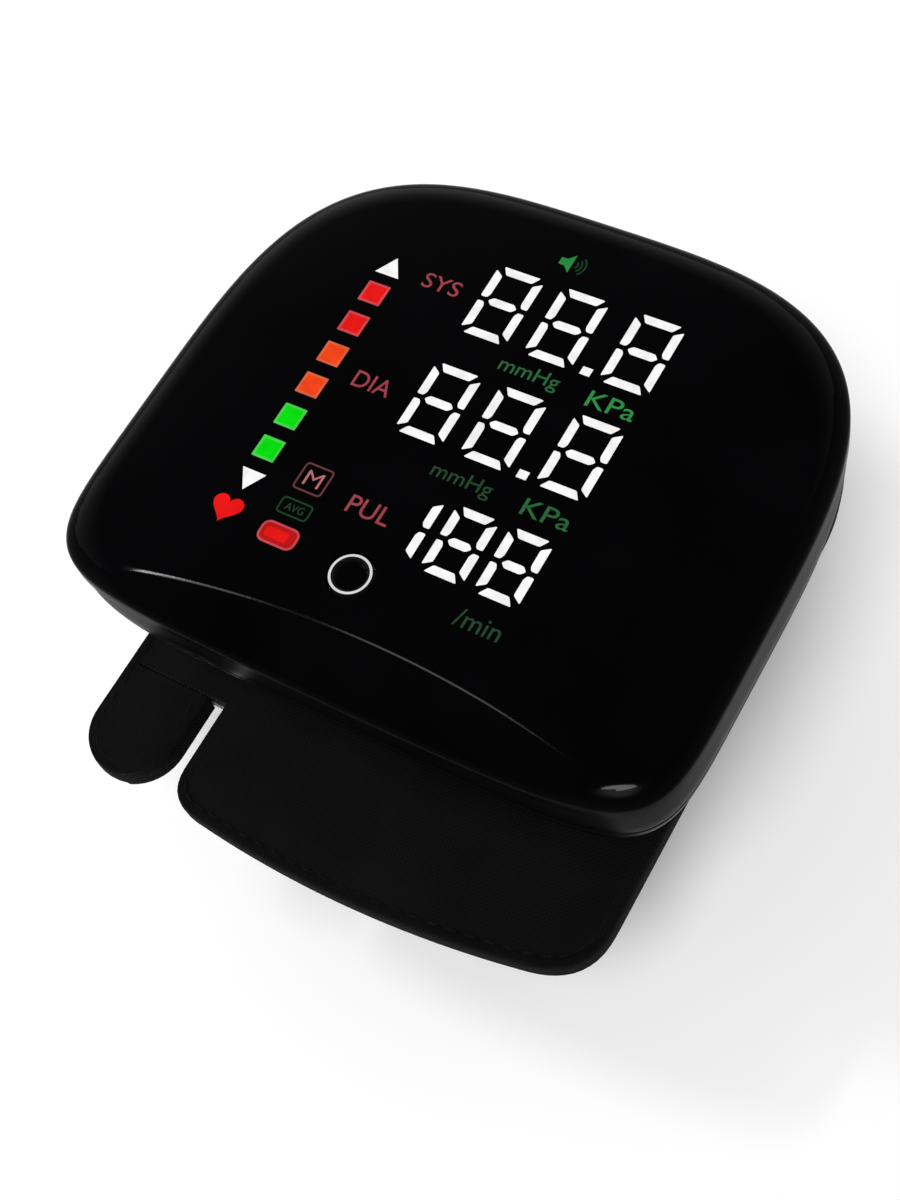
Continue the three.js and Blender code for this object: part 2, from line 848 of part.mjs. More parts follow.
function speakerUnit() {
  const low = atDepth(seatDepth);
  const high = low + roomHeight * speakerHeightShare;
  const coneTop = low + roomHeight * speakerConeShare;
  const body = post(speakerX, speakerY, speaker.radius, low, high);
  return body.subtract(post(speakerX, speakerY, speaker.coneRadius, low - overrun, coneTop));
}

function chargeSocket() {
  const half = socket.width / 2;
  const high = atDepth(socketTopDepth);
  const low = high - socket.height;
  const outer = block(socketX, socketEnd, socket.y - half, socket.y + half, low, high);
  const mouth = block(
    socketX - overrun,
    socketEnd - socket.wall,
    socket.y - half + socket.wall,
    socket.y + half - socket.wall,
    low + socket.wall,
    high - socket.wall,
  );
  return outer.subtract(mouth);
}

function socketBoard() {
  const low = atDepth(seatDepth);
  const half = chargeBoard.width / 2;
  return block(
    socketEnd - chargeBoard.length,
    socketEnd,
    socket.y - half,
    socket.y + half,
    low,
    low + chargeBoard.height,
  );
}

// Screws: a cylinder head and a shank that ends in its boss or plate
function screwSolid(place, headLow, headHigh, shankLow, shankHigh) {
  const head = post(place.x, place.y, screwHeadRadius, headLow, headHigh);
  const shank = post(place.x, place.y, screwRadius, shankLow, shankHigh, smallSteps);
  return head.add(shank);
}

function caseScrew(place) {
  const low = atDepth(caseDepth - gap);
  const high = low + screwHeadHeight;
  return screwSolid(place, low, high, low, atDepth(bossReach) + screwReach - gap);
}

function saddleScrewPiece(place) {
  const low = atDepth(seatDepth);
  const end = sleeveTopZ + 2 * gap;
  return screwSolid(place, low, low + screwHeadHeight, end, low + screwHeadHeight / 2);
}

// The saddle holds the case off the cuff: a shallow tray, open below, with two screw bosses
function cuffSaddle() {
  const low = sleeveTopZ + gap;
  const high = low + saddle.height;
  const back = backCentreY + saddle.wall;
  const room = block(
    -caseHalfWidth,
    caseHalfWidth,
    caseFrontY,
    back,
    low - overrun,
    high + overrun,
  );
  const body = prism(outlineShape(saddle.inset, plainSteps), low, high).intersect(room);
  const pocket = prism(
    outlineShape(saddle.inset + saddle.wall, plainSteps),
    low - overrun,
    high - saddle.wall,
  );
  const solidParts = saddleScrewPlaces.map((place) =>
    post(place.x, place.y, saddle.bossRadius, low - overrun, high),
  );
  const nozzleWall = nozzleRadius + gap + saddle.wall;
  solidParts.push(post(nozzleX, nozzleY, nozzleWall, low - overrun, high));
  const hollow = cut(pocket.intersect(room.translate([0, -saddle.wall, 0])), solidParts);
  const holes = saddleScrewPlaces.map((place) =>
    post(place.x, place.y, screwRadius + gap, low - overrun, high + overrun),
  );
  holes.push(post(nozzleX, nozzleY, nozzleRadius + gap, low - overrun, high + overrun));
  return cut(body, [hollow, ...holes]);
}

// The cuff's middle line, with the direction that faces away from the wrist and the half width
function arcPath(y, z, radius, from, to, steps, halfWidthAt) {
  return Array.from({ length: steps + 1 }, (_, i) => {
    const angle = THREE.MathUtils.lerp(from, to, i / steps);
    const outY = Math.cos(angle);
    const outZ = Math.sin(angle);
    return { y: y + radius * outY, z: z + radius * outZ, outY, outZ, halfWidth: halfWidthAt(angle) };
  });
}

const sleeveWidthAt = (angle) =>
  THREE.MathUtils.lerp(cuffWaistHalfWidth, cuffHalfWidth, Math.sin(angle) ** 2);
const bandWidthAt = (angle) =>
  THREE.MathUtils.lerp(cuffWaistHalfWidth, bandHalfWidth, Math.sin(angle) ** 2);

function sleevePath() {
  const flapEnd = { y: flapTipY - overrun, z: sleeveMidZ, outY: 0, outZ: 1, halfWidth: cuffHalfWidth };
  const stop = gap / 2 / backRadius;
  const up = Math.PI / 2;
  const steps = roundSteps / 2;
  return [flapEnd, ...arcPath(backCentreY, backCentreZ, backRadius, up, stop, steps, sleeveWidthAt)];
}

function bandPath(tipEndY) {
  const stop = -gap / 2 / backRadius;
  const down = -Math.PI / 2;
  const up = (-3 * Math.PI) / 2;
  const steps = roundSteps / 2;
  const back = arcPath(backCentreY, backCentreZ, backRadius, stop, down, steps, bandWidthAt);
  const even = () => bandHalfWidth;
  const front = arcPath(frontCentreY, frontCentreZ, frontRadius, down, up, roundSteps, even);
  return [...back, ...front, { ...front[roundSteps], y: tipEndY }];
}

// A layer of the cuff between two offsets from its middle line, drawn in by a margin at its sides
function layer(path, inner, outer, inward) {
  const vertices = [];
  for (const p of path) {
    for (const [offset, side] of [[inner, -1], [inner, 1], [outer, 1], [outer, -1]]) {
      const x = side * (p.halfWidth - inward);
      vertices.push(x, p.y + offset * p.outY, p.z + offset * p.outZ);
    }
  }
  const corners = 4;
  const faces = [0, 1, 2, 0, 2, 3];
  const last = corners * (path.length - 1);
  faces.push(last, last + 2, last + 1, last, last + 3, last + 2);
  for (let i = 0; i < last; i += corners) {
    for (let c = 0; c < corners; c += 1) {
      const next = (c + 1) % corners;
      faces.push(i + c, i + corners + next, i + next);
      faces.push(i + c, i + corners + c, i + corners + next);
    }
  }
  const geometry = new THREE.BufferGeometry();
  geometry.setAttribute("position", new THREE.Float32BufferAttribute(vertices, 3));
  geometry.setIndex(faces);
  return toSolid(geometry);
}

const bowY = (x) => flapTipY + flapBow - Math.sqrt(flapBow ** 2 - x ** 2);

function flapPlan(inward) {
  const side = cuffHalfWidth - inward;
  const left = slitRightX + inward;
  const shape = new THREE.Shape();
  shape.moveTo(-side, cuffBackY + overrun);
  shape.lineTo(-side, slitRootY + inward);
  shape.lineTo(left, slitRootY + inward);
  shape.lineTo(left, bowY(left) + inward + slitCorner);
  const cornerEnd = left + slitCorner;
  shape.quadraticCurveTo(left, bowY(left) + inward, cornerEnd, bowY(cornerEnd) + inward);
  const bowEnd = side - flapCorner;
  for (let i = 1; i <= smallSteps; i += 1) {
    const x = THREE.MathUtils.lerp(cornerEnd, bowEnd, i / smallSteps);
    shape.lineTo(x, bowY(x) + inward);
  }
  shape.quadraticCurveTo(side, bowY(side) + inward, side, bowY(side) + inward + flapCorner);
  shape.lineTo(side, cuffBackY + overrun);
  return prism(shape, -overrun, sleeveTopZ + overrun);
}

const coverInner = bandThickness / 2 - coverThickness;
const stiffenerOuter = coverInner - gap;
const stiffenerInner = stiffenerOuter - stiffenerThickness;
const liningOuter = stiffenerInner - gap;

function nozzleHole(low) {
  return post(nozzleX, nozzleY, nozzleRadius + gap, low, sleeveTopZ + overrun);
}

function sleeveCover() {
  const body = layer(sleevePath(), coverInner, bandThickness / 2, 0).intersect(flapPlan(0));
  return body.subtract(nozzleHole(bladderTopZ));
}

function sleeveStiffener() {
  const sheet = layer(sleevePath(), stiffenerInner, stiffenerOuter, stiffenerInward);
  return sheet.intersect(flapPlan(stiffenerInward)).subtract(nozzleHole(bladderTopZ - gap));
}

function bladderPocket(margin, low, high) {
  const shape = new THREE.Shape();
  const half = bladderHalfWidth + margin;
  const front = bladder.front - margin;
  const back = bladder.back + margin;
  const corner = bladder.corner;
  shape.moveTo(-half + corner, front);
  shape.lineTo(half - corner, front);
  shape.absarc(half - corner, front + corner, corner, -Math.PI / 2, 0);
  shape.absarc(half - corner, back - corner, corner, 0, Math.PI / 2);
  shape.absarc(-half + corner, back - corner, corner, Math.PI / 2, Math.PI);
  shape.absarc(-half + corner, front + corner, corner, Math.PI, (3 * Math.PI) / 2);
  return prism(shape, low, high);
}

function sleeveLining() {
  const body = layer(sleevePath(), -bandThickness / 2, liningOuter, 0).intersect(flapPlan(0));
  return body.subtract(bladderPocket(gap, bladderTopZ - bladder.thickness - gap, sleeveTopZ));
}

function airBladder() {
  return bladderPocket(0, bladderTopZ - bladder.thickness, bladderTopZ);
}

// The band's plan: straight sides, and round corners at its tip
function bandTipPlan(inward) {
  const shape = new THREE.Shape();
  const end = frontCentreY + tipLength - inward;
  const halfWidth = bandHalfWidth - inward;
  shape.moveTo(-halfWidth, flapTipY);
  shape.lineTo(halfWidth, flapTipY);
  shape.lineTo(halfWidth, end - flapCorner);
  shape.quadraticCurveTo(halfWidth, end, halfWidth - flapCorner, end);
  shape.lineTo(-halfWidth + flapCorner, end);
  shape.quadraticCurveTo(-halfWidth, end, -halfWidth, end - flapCorner);
  return prism(shape, frontCentreZ, sleeveTopZ);
}

function bandLayer(inner, outer, inward) {
  const sheet = layer(bandPath(frontCentreY + tipLength + overrun), inner, outer, inward);
  const tipZone = block(
    -cuffHalfWidth,
    cuffHalfWidth,
    frontCentreY,
    frontCentreY + tipLength + 2 * overrun,
    frontCentreZ,
    sleeveTopZ,
  );
  const tip = sheet.intersect(tipZone).intersect(bandTipPlan(inward));
  return sheet.subtract(tipZone).add(tip);
}

function patch(low) {
  const start = frontCentreY + gap;
  const half = bandHalfWidth - patchInward;
  return block(-half, half, start, start + patchLength, low, low + patchThickness);
}

function pullTab() {
  const left = -cuffHalfWidth;
  const right = left + tabWidth;
  const radius = tabWidth / 2;
  const root = slitRootY - gap;
  const shape = new THREE.Shape();
  shape.moveTo(right, root);
  shape.lineTo(left, root);
  shape.absarc(left + radius, slitRootY - tabReach + radius, radius, Math.PI, 2 * Math.PI);
  return prism(shape, sleeveUnderZ, sleeveTopZ);
}

// Materials
const finish = {
  gloss: { color: 0x050506, roughness: 0.08, metalness: 0 },
  shell: { color: 0x08080a, roughness: 0.22, metalness: 0 },
  fabric: { color: 0x0c0c0d, roughness: 0.95, metalness: 0 },
  plastic: { color: 0x1a1a1c, roughness: 0.6, metalness: 0 },
  light: { color: 0xf2f2f2, roughness: 0.4, metalness: 0 },
  board: { color: 0x0b4a2a, roughness: 0.5, metalness: 0 },
  steel: { color: 0xb8babd, roughness: 0.3, metalness: 1 },
  cell: { color: 0x8aa4c8, roughness: 0.4, metalness: 0.2 },
  rubber: { color: 0xd8d8d0, roughness: 0.7, metalness: 0 },
};

const root = new THREE.Group();
root.position.y = originShift;

function addPiece(name, solid, look) {
  const mesh = new THREE.Mesh(toGeometry(solid), new THREE.MeshStandardMaterial(finish[look]));
  mesh.name = name;
  root.add(mesh);
}

addPiece("front_lens", frontLens(), "gloss");
addPiece("front_shell", frontShell(), "shell");
addPiece("back_shell", backShell(), "shell");
addPiece("cuff_saddle", cuffSaddle(), "plastic");
addPiece("segment_diffuser", segmentDiffuser(), "light");
addPiece("digit_reflector", digitReflector(), "plastic");
addPiece("display_board", displayBoard(), "board");
addPiece("start_button", startButton(), "gloss");
addPiece("button_light_ring", buttonLightRing(), "light");
addPiece("tact_switch", tactSwitch(), "steel");
addPiece("battery_cell", batteryCell(), "cell");
addPiece("battery_pad", batteryPad(), "rubber");
addPiece("pump_motor", pumpMotor(), "steel");
addPiece("pump_head", pumpHead(), "plastic");
addPiece("pump_rotor", pumpRotor(), "steel");
addPiece("valve_body", valveBody(), "steel");
addPiece("valve_plunger", valvePlunger(), "steel");
addPiece("pressure_sensor", pressureSensor(), "plastic");
addPiece("bladder_nozzle", bladderNozzle(), "plastic");
addPiece("air_hose", airHose(), "rubber");
addPiece("speaker", speakerUnit(), "plastic");
addPiece("charge_socket", chargeSocket(), "steel");
addPiece("charge_board", socketBoard(), "board");
bossPlaces.forEach((place, i) => addPiece(`case_screw_${i + 1}`, caseScrew(place), "steel"));
saddleScrewPlaces.forEach((place, i) => {
  addPiece(`saddle_screw_${i + 1}`, saddleScrewPiece(place), "steel");
});
addPiece("sleeve_cover", sleeveCover(), "fabric");
addPiece("sleeve_stiffener", sleeveStiffener(), "plastic");
addPiece("sleeve_lining", sleeveLining(), "fabric");
addPiece("air_bladder", airBladder(), "rubber");
addPiece("band_cover", bandLayer(coverInner, bandThickness / 2, 0), "fabric");
addPiece("band_stiffener", bandLayer(stiffenerInner, stiffenerOuter, stiffenerInward), "plastic");
addPiece("band_lining", bandLayer(-bandThickness / 2, liningOuter, 0), "fabric");
addPiece("loop_patch", patch(sleeveUnderZ - gap - patchThickness), "fabric");
addPiece("hook_patch", patch(sleeveUnderZ - 2 * gap - 2 * patchThickness), "fabric");
addPiece("pull_tab", pullTab(), "fabric");

export default root;
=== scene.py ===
import math

import bmesh
import bpy
import numpy as np
from mathutils import Matrix, Vector


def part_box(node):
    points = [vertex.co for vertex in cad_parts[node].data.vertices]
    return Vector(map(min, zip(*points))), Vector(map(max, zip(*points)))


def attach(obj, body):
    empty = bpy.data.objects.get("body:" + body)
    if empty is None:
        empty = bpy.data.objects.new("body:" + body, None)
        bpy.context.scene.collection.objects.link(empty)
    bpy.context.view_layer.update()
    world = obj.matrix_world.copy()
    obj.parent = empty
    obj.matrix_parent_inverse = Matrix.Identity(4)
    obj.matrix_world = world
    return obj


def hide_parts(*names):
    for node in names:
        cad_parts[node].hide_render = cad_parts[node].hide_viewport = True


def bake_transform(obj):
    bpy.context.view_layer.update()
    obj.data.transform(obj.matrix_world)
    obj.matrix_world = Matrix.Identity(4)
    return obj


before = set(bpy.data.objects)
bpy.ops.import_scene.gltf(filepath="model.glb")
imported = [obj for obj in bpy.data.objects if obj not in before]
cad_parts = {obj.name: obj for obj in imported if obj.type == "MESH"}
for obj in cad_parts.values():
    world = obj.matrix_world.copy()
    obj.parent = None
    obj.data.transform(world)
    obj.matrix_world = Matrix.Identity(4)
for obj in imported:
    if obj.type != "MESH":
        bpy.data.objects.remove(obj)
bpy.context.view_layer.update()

MM = 0.001
SHIFT = 7.3
GAP = 0.3

# Case outline: two half superellipses that meet at the widest line
HALF_WIDTH = 39.6
REACH_BACK = 41.0
REACH_FRONT = 26.8
WIDEST_Y = -8.4
BACK_POWER = 3.4
FRONT_POWER = 6.6
RING_COUNT = 400

# Case heights, as depths under the face
FACE_Z = 62.5
SKIRT_DEPTH = 4.2
SPLIT_DEPTH = 9.5
CASE_DEPTH = 17.2
LENS_THICKNESS = 2.0
LENS_WALL = 1.8
STEEP = 0.925
FACE_STEP = 0.15
FINE_REACH = 9.0
SHELL_WALL = 1.6
HULL_INSET = 0.25
ROUND_DEPTH = 7.5
ROUND_INSET = 4.0
ROUND_POWER = 1.7
SEAM_BEVEL = 0.22
TRAY_EDGE = 1.0
LEDGE_INSET = 0.7
LEDGE_PLAY = 0.03

# Cuts in the tray: the socket's port, the screws' wells and the speaker's ring of holes
PORT_REACH = 4.0
PORT_ROUND = 0.9
SPEAKER_HOLES = 6
SPEAKER_RING = 3.6
SPEAKER_HOLE = 0.7
CUT_OVERRUN = 1.0

# Crown of the face, and the chin that slopes down in front of a curved crease
DOME_DEPTH = 0.1
DOME_DROP = 0.25
DOME_WIDTH = 13.0
SHOULDER_DROP = 2.25
SHOULDER_WIDTH = 4.0
CHIN_X = 3.0
CHIN_Y = -27.75
CHIN_RADIUS = 135.0
CHIN_RUN = 2.2
CHIN_EDGE = 0.6
CREASE_ROUND = 0.16

# Cuff: the sleeve under the case and the band that closes under the wrist
CUFF_THICKNESS = 3.2
COVER = 0.8
LINING = 1.2
CORE_INWARD = 2.0
OPENING = 32.0
CUFF_HALF_WIDTH = 34.8
WAIST_HALF_WIDTH = 28.4
BAND_HALF_WIDTH = 25.2
CUFF_BACK_Y = 34.5
CUFF_FRONT_Y = -36.0
TIP_LENGTH = 17.0
PATCH = 0.8
FLAP_TIP_Y = -49.1
FLAP_BOW = 140.0
FLAP_CORNER = 6.5
SLIT_CORNER = 4.2
SLIT_ROOT_Y = -34.5
SLIT_WIDTH = 1.3
SLIT_SHIFT = 0.3
TAB_WIDTH = 12.9
TAB_SLIM = 0.5
TAB_REACH = 13.45

SLEEVE_TOP = 2 * CUFF_THICKNESS + OPENING
SLEEVE_MID = SLEEVE_TOP - CUFF_THICKNESS / 2
FOOT_MID = CUFF_THICKNESS / 2
BACK_RADIUS = (SLEEVE_MID - FOOT_MID) / 2
BACK_Y = CUFF_BACK_Y - BACK_RADIUS - CUFF_THICKNESS / 2
BACK_Z = FOOT_MID + BACK_RADIUS
FRONT_RADIUS = (SLEEVE_MID - CUFF_THICKNESS - 2 * PATCH - 3 * GAP - FOOT_MID) / 2
FRONT_Y = CUFF_FRONT_Y + FRONT_RADIUS + CUFF_THICKNESS / 2
FRONT_Z = FOOT_MID + FRONT_RADIUS
SLIT_RIGHT = -CUFF_HALF_WIDTH + TAB_WIDTH + SLIT_WIDTH + SLIT_SHIFT

# Sewing, and the tape that reaches over the hinge line
BINDING_WIDTH = 1.9
BINDING_PROUD = 0.06
CLOTH_MARGIN = 0.3
FOLD_REACH = 6.0
FOLD_STAND = 0.05
FOLD_THICKNESS = 0.5
PILE_DEPTH = 0.16
NEAR = 1e-6
STITCH_LENGTH = 1.5
STITCH_STEP = 2.3
STITCH_RADIUS = 0.17
STITCH_INSET = 1.35
STITCH_SIDES = 6
STITCH_RINGS = 5
STITCH_STAND = 0.1
PUFF_CAP = 0.6
BLADDER_POWER = 5
SIM_SCALE = 20.0
SIM_FRAMES = 14

# Display graphics, from the case's centre
DIGIT_Y = 16.15
ROW_PITCH = 14.85
DIGIT_XS = (-5.5, 3.0, 12.65)
DIGIT_HALF = (2.55, 4.5)
PULSE_Y = -13.8
PULSE_XS = (5.9, 12.65)
PULSE_ONE_X = 1.3
PULSE_HALF = (2.17, 3.85)
SEGMENT_WIDTH = 1.04
SEGMENT_GAP = 0.34
SEGMENT_ROUND = 0.2
DOT_X = 7.9
DOT_SIZE = 1.25
BAR_X = -20.6
BAR_TOP_Y = 11.9
BAR_PITCH = 4.73
BAR_SIZE = 2.95
BAR_RIM = 0.3
BAR_LOOKS = ("red", "red", "orange", "orange", "green", "green")
ARROW_HALF = 1.6
ARROW_BASE = 1.15
ARROW_TIP = 1.5
ARROWS = (("level_up", -20.6, 15.95, 1), ("level_down", -20.45, -16.1, -1))
HEART = (-20.85, -20.6, 3.9)
CELL_PLACE = (-13.35, -21.0)
MEMORY_PLACE = (-13.5, -13.2)
AVERAGE_PLACE = (-13.45, -17.35)
SOUND_PLACE = (-0.75, 24.5)
MARK_RISE = 0.03
# Words: name, text, x, y, height, width, look
WORDS = (
    ("average_word", "AVG", -13.45, -17.35, 0.95, 2.4, "dim_sign"),
    ("upper_word", "SYS", -13.6, 16.05, 2.1, 4.9, "red_sign"),
    ("middle_word", "DIA", -14.0, 0.65, 2.2, 4.9, "red_sign"),
    ("pulse_word", "PUL", -5.5, -14.1, 2.3, 5.4, "red_sign"),
    ("upper_unit_1", "mmHg", 2.1, 8.7, 2.4, 7.6, "mid_sign"),
    ("upper_unit_2", "KPa", 12.7, 8.6, 2.15, 5.9, "green_sign"),
    ("middle_unit_1", "mmHg", 2.05, -6.7, 2.4, 7.6, "dim_sign"),
    ("middle_unit_2", "KPa", 12.8, -6.65, 2.15, 5.9, "mid_sign"),
    ("pulse_unit", "/min", 12.6, -21.4, 2.2, 5.5, "dim_sign"),
)
BUTTON_X = -3.25
BUTTON_Y = -21.9
RING_HOLE = 2.82
RING_INNER = 1.92
RING_OUTER = 2.52
RING_LIT = 2.33
RING_LINE = 0.17
RING_BASE = 60.9

# Colours of the lit print
LAMP_BODY = (0.001, 0.001, 0.001)
LAMPS = {
    "white": ("lamp_white", (1.0, 1.0, 1.0)),
    "red": ("lamp_red", (0.85, 0.006, 0.006)),
    "red_rim": ("lamp_red_rim", (0.62, 0.07, 0.08)),
    "deep_red": ("lamp_deep_red", (0.5, 0.006, 0.008)),
    "orange": ("lamp_orange", (0.95, 0.06, 0.008)),
    "orange_rim": ("lamp_orange_rim", (0.74, 0.13, 0.05)),
    "green": ("lamp_green", (0.0, 0.76, 0.003)),
    "green_rim": ("lamp_green_rim", (0.07, 0.66, 0.08)),
    "red_sign": ("sign_red", (0.34, 0.045, 0.06)),
    "pale_red_sign": ("sign_pale_red", (0.5, 0.14, 0.16)),
    "dull_red_sign": ("sign_dull_red", (0.15, 0.045, 0.052)),
    "green_sign": ("sign_green", (0.02, 0.27, 0.05)),
    "mid_sign": ("sign_mid_green", (0.014, 0.13, 0.035)),
    "dim_sign": ("sign_dim_green", (0.008, 0.055, 0.018)),
}

# World: an even light, seen as a white backdrop that darkens overhead
AMBIENT = 0.36
BACKDROP_EDGE = (0.35, 0.8)
BACKDROP_TOP = (0.05, 0.05, 0.056)
FLOOR_REACH = 4.0  # metres

# Key light: the way to it, its spread and strength
KEY_WAY = (0.19, -0.39, 0.9)
KEY_SPREAD = 0.42
KEY_STRENGTH = 2.14
# Strips that the chin's crease mirrors: name, the way to it, its size in metres, its power.
# They stand STRIP_DISTANCE metres from the target, which is in metres of the frame
STRIP_TARGET = (0, 0, 0.045)
STRIP_DISTANCE = 0.36
STRIPS = (
    ("edge_strip_left", (-168, -60, 300), (0.014, 0.06), 0.16),
    ("edge_strip_fade", (-152, -60, 300), (0.014, 0.06), 0.024),
    ("edge_strip_right", (-117, -60, 310), (0.032, 0.06), 0.052),
)

# Camera: its three directions, and its place from the middle of the face
CAMERA_RIGHT = (0.85261, 0.49185, -0.17645)
CAMERA_DOWN = (0.36329, -0.80065, -0.47642)
CAMERA_FORWARD = (-0.37560, 0.34210, -0.86133)
CAMERA_PLACE = (81.75, -86.96, 168.28)
CAMERA_LENS = 55.36
CAMERA_SENSOR = 36.0


# --- materials -------------------------------------------------------------------------------


class Look:
    """A procedural material: a principled shader with named nodes round it."""

    def __init__(self, name, colour, roughness, **sockets):
        self.material = bpy.data.materials.new(name)
        self.material.use_nodes = True
        self.tree = self.material.node_tree
        self.shader = self.tree.nodes["Principled BSDF"]
        self.set("Base Color", (*colour, 1))
        self.set("Roughness", roughness)
        for key, value in sockets.items():
            self.set(key.replace("_", " "), value)

    def set(self, socket, value):
        self.shader.inputs[socket].default_value = value

    def node(self, kind, links=None, **values):
        made = self.tree.nodes.new(kind)
        for key, value in values.items():
            if hasattr(made, key):
                setattr(made, key, value)
            else:
                made.inputs[key.replace("_", " ")].default_value = value
        for key, source in (links or {}).items():
            self.tree.links.new(source, made.inputs[key])
        return made

    def link(self, source, socket):
        self.tree.links.new(source, self.shader.inputs[socket])

    def coordinates(self, kind="Object", scale=(1, 1, 1)):
        source = self.node("ShaderNodeTexCoord").outputs[kind]
        mapping = self.node("ShaderNodeMapping", {"Vector": source})
        mapping.inputs["Scale"].default_value = scale
        return mapping.outputs["Vector"]

    def noise(self, vector, scale, detail=4.0):
        made = self.node("ShaderNodeTexNoise", {"Vector": vector}, Scale=scale, Detail=detail)
        return made.outputs["Fac"]

    def spread(self, source, low, high):
        """A value between low and high, from a source between 0 and 1."""
        made = self.node("ShaderNodeMapRange", {"Value": source})
        made.inputs["To Min"].default_value = low
        made.inputs["To Max"].default_value = high
        return made.outputs["Result"]

    def ramp(self, source, low, high, start=0.35, end=0.65):
        made = self.node("ShaderNodeValToRGB", {"Fac": source})
        first, last = made.color_ramp.elements
        first.position, last.position = start, end
        first.color, last.color = (*low, 1), (*high, 1)
        return made.outputs["Color"]

    def tint(self, source, colour, low, high, socket="Base Color", start=0.35, end=0.65):
        """A colour between two shares of its strength."""
        low, high = [c * low for c in colour], [c * high for c in colour]
        self.link(self.ramp(source, low, high, start, end), socket)

    def math(self, operation, a, b):
        made = self.node("ShaderNodeMath", operation=operation)
        for i, value in enumerate((a, b)):
            if isinstance(value, (int, float)):
                made.inputs[i].default_value = value
            else:
                self.tree.links.new(value, made.inputs[i])
        return made.outputs["Value"]

    def bump(self, height, distance, strength=1.0):
        made = self.node("ShaderNodeBump", {"Height": height}, Strength=strength)
        made.inputs["Distance"].default_value = distance
        self.link(made.outputs["Normal"], "Normal")


def gloss_look(name, colour, roughness, level, haze):
    look = Look(name, colour, roughness, Specular_IOR_Level=level, Coat_Weight=0.0)
    place = look.coordinates()
    cloud = look.noise(place, 60.0, 3.0)
    look.link(look.spread(cloud, roughness * 0.7, roughness * haze), "Roughness")
    look.tint(cloud, colour, 0.8, 1.25)
    look.bump(look.noise(place, 1800.0, 2.0), 0.000002)
    return look.material


def moulded_look(name, colour, roughness, grain):
    look = Look(name, colour, roughness, Specular_IOR_Level=0.35)
    place = look.coordinates()
    cloud = look.noise(place, 120.0)
    look.tint(cloud, colour, 0.75, 1.3)
    look.link(look.spread(cloud, roughness * 0.85, roughness * 1.1), "Roughness")
    look.bump(look.noise(place, grain, 3.0), 0.00002)
    return look.material


def metal_look(name, colour, roughness, scale):
    look = Look(name, colour, roughness, Metallic=1.0)
    place = look.coordinates(scale=scale)
    grain = look.noise(place, 900.0, 5.0)
    look.link(look.spread(grain, roughness * 0.7, roughness * 1.5), "Roughness")
    look.tint(grain, colour, 0.8, 1.0)
    look.bump(grain, 0.000006)
    return look.material


def lamp_look(name, colour):
    """Lit print under the lens: the glow is a little uneven, as a lamp behind a mask is."""
    look = Look(name, LAMP_BODY, 0.3, Specular_IOR_Level=0.1, Emission_Strength=1.0)
    cloud = look.noise(look.coordinates(), 700.0, 2.0)
    look.tint(cloud, colour, 0.86, 1.0, "Emission Color")
    return look.material


def ring_look(name):
    """The button's ring: a thin lit line near its rim, and dark plastic inside it."""
    look = Look(name, (0.002, 0.002, 0.002), 0.3, Specular_IOR_Level=0.1)
    place = look.node("ShaderNodeTexCoord").outputs["Object"]
    centre = (BUTTON_X * MM, (BUTTON_Y + SHIFT) * MM, 0)
    flat = look.node("ShaderNodeVectorMath", {0: place}, operation="MULTIPLY")
    flat.inputs[1].default_value = (1, 1, 0)
    apart = look.node("ShaderNodeVectorMath", {0: flat.outputs[0]}, operation="DISTANCE")
    apart.inputs[1].default_value = centre
    off_line = look.math("SUBTRACT", apart.outputs["Value"], RING_LIT * MM)
    beside = look.math("ABSOLUTE", off_line, 0.0)
    line = look.node("ShaderNodeMapRange", {"Value": beside}, interpolation_type="SMOOTHSTEP")
    line.inputs["From Min"].default_value = RING_LINE * MM
    line.inputs["From Max"].default_value = RING_LINE * MM * 0.7
    cloud = look.noise(look.coordinates(), 700.0, 2.0)
    glow = look.math("MULTIPLY", line.outputs["Result"], look.spread(cloud, 0.6, 0.78))
    look.link(look.ramp(glow, (0.003, 0.003, 0.003), (0.82, 0.82, 0.84), 0.0, 0.8),
              "Emission Color")
    look.set("Emission Strength", 1.0)
    return look.material


def woven_look(name, colour, pitch, sheen, depth=0.00006, roughness=0.82):
    """Plain weave in the cloth's own directions, from the map of each sheet in millimetres."""
    look = Look(name, colour, roughness, Specular_IOR_Level=0.06, Sheen_Weight=sheen)
    look.set("Sheen Roughness", 0.45)
    place = look.coordinates("UV", (1 / pitch, 1 / pitch, 1))
    parts = look.node("ShaderNodeSeparateXYZ", {"Vector": place})
    warp = look.math("SINE", look.math("MULTIPLY", parts.outputs["X"], 2 * math.pi), 0.0)
    weft = look.math("SINE", look.math("MULTIPLY", parts.outputs["Y"], 2 * math.pi), 0.0)
    weave = look.math("MULTIPLY", warp, weft)
    fuzz = look.noise(look.coordinates(), 2600.0, 3.0)
    height = look.math("ADD", look.math("MULTIPLY", weave, 0.5), fuzz)
    patchy = look.noise(look.coordinates(), 90.0, 3.0)
    shade = look.math("ADD", look.math("MULTIPLY", weave, 0.16), patchy)
    look.tint(shade, colour, 0.6, 1.5, start=0.25, end=0.75)
    look.bump(height, depth)
    return look.material


def pile_look(name, colour, scale, depth):
    look = Look(name, colour, 0.95, Specular_IOR_Level=0.06, Sheen_Weight=0.02)
    place = look.coordinates()
    fuzz = look.noise(place, scale, 6.0)
    look.tint(fuzz, colour, 0.5, 1.7)
    look.bump(fuzz, depth)
    return look.material


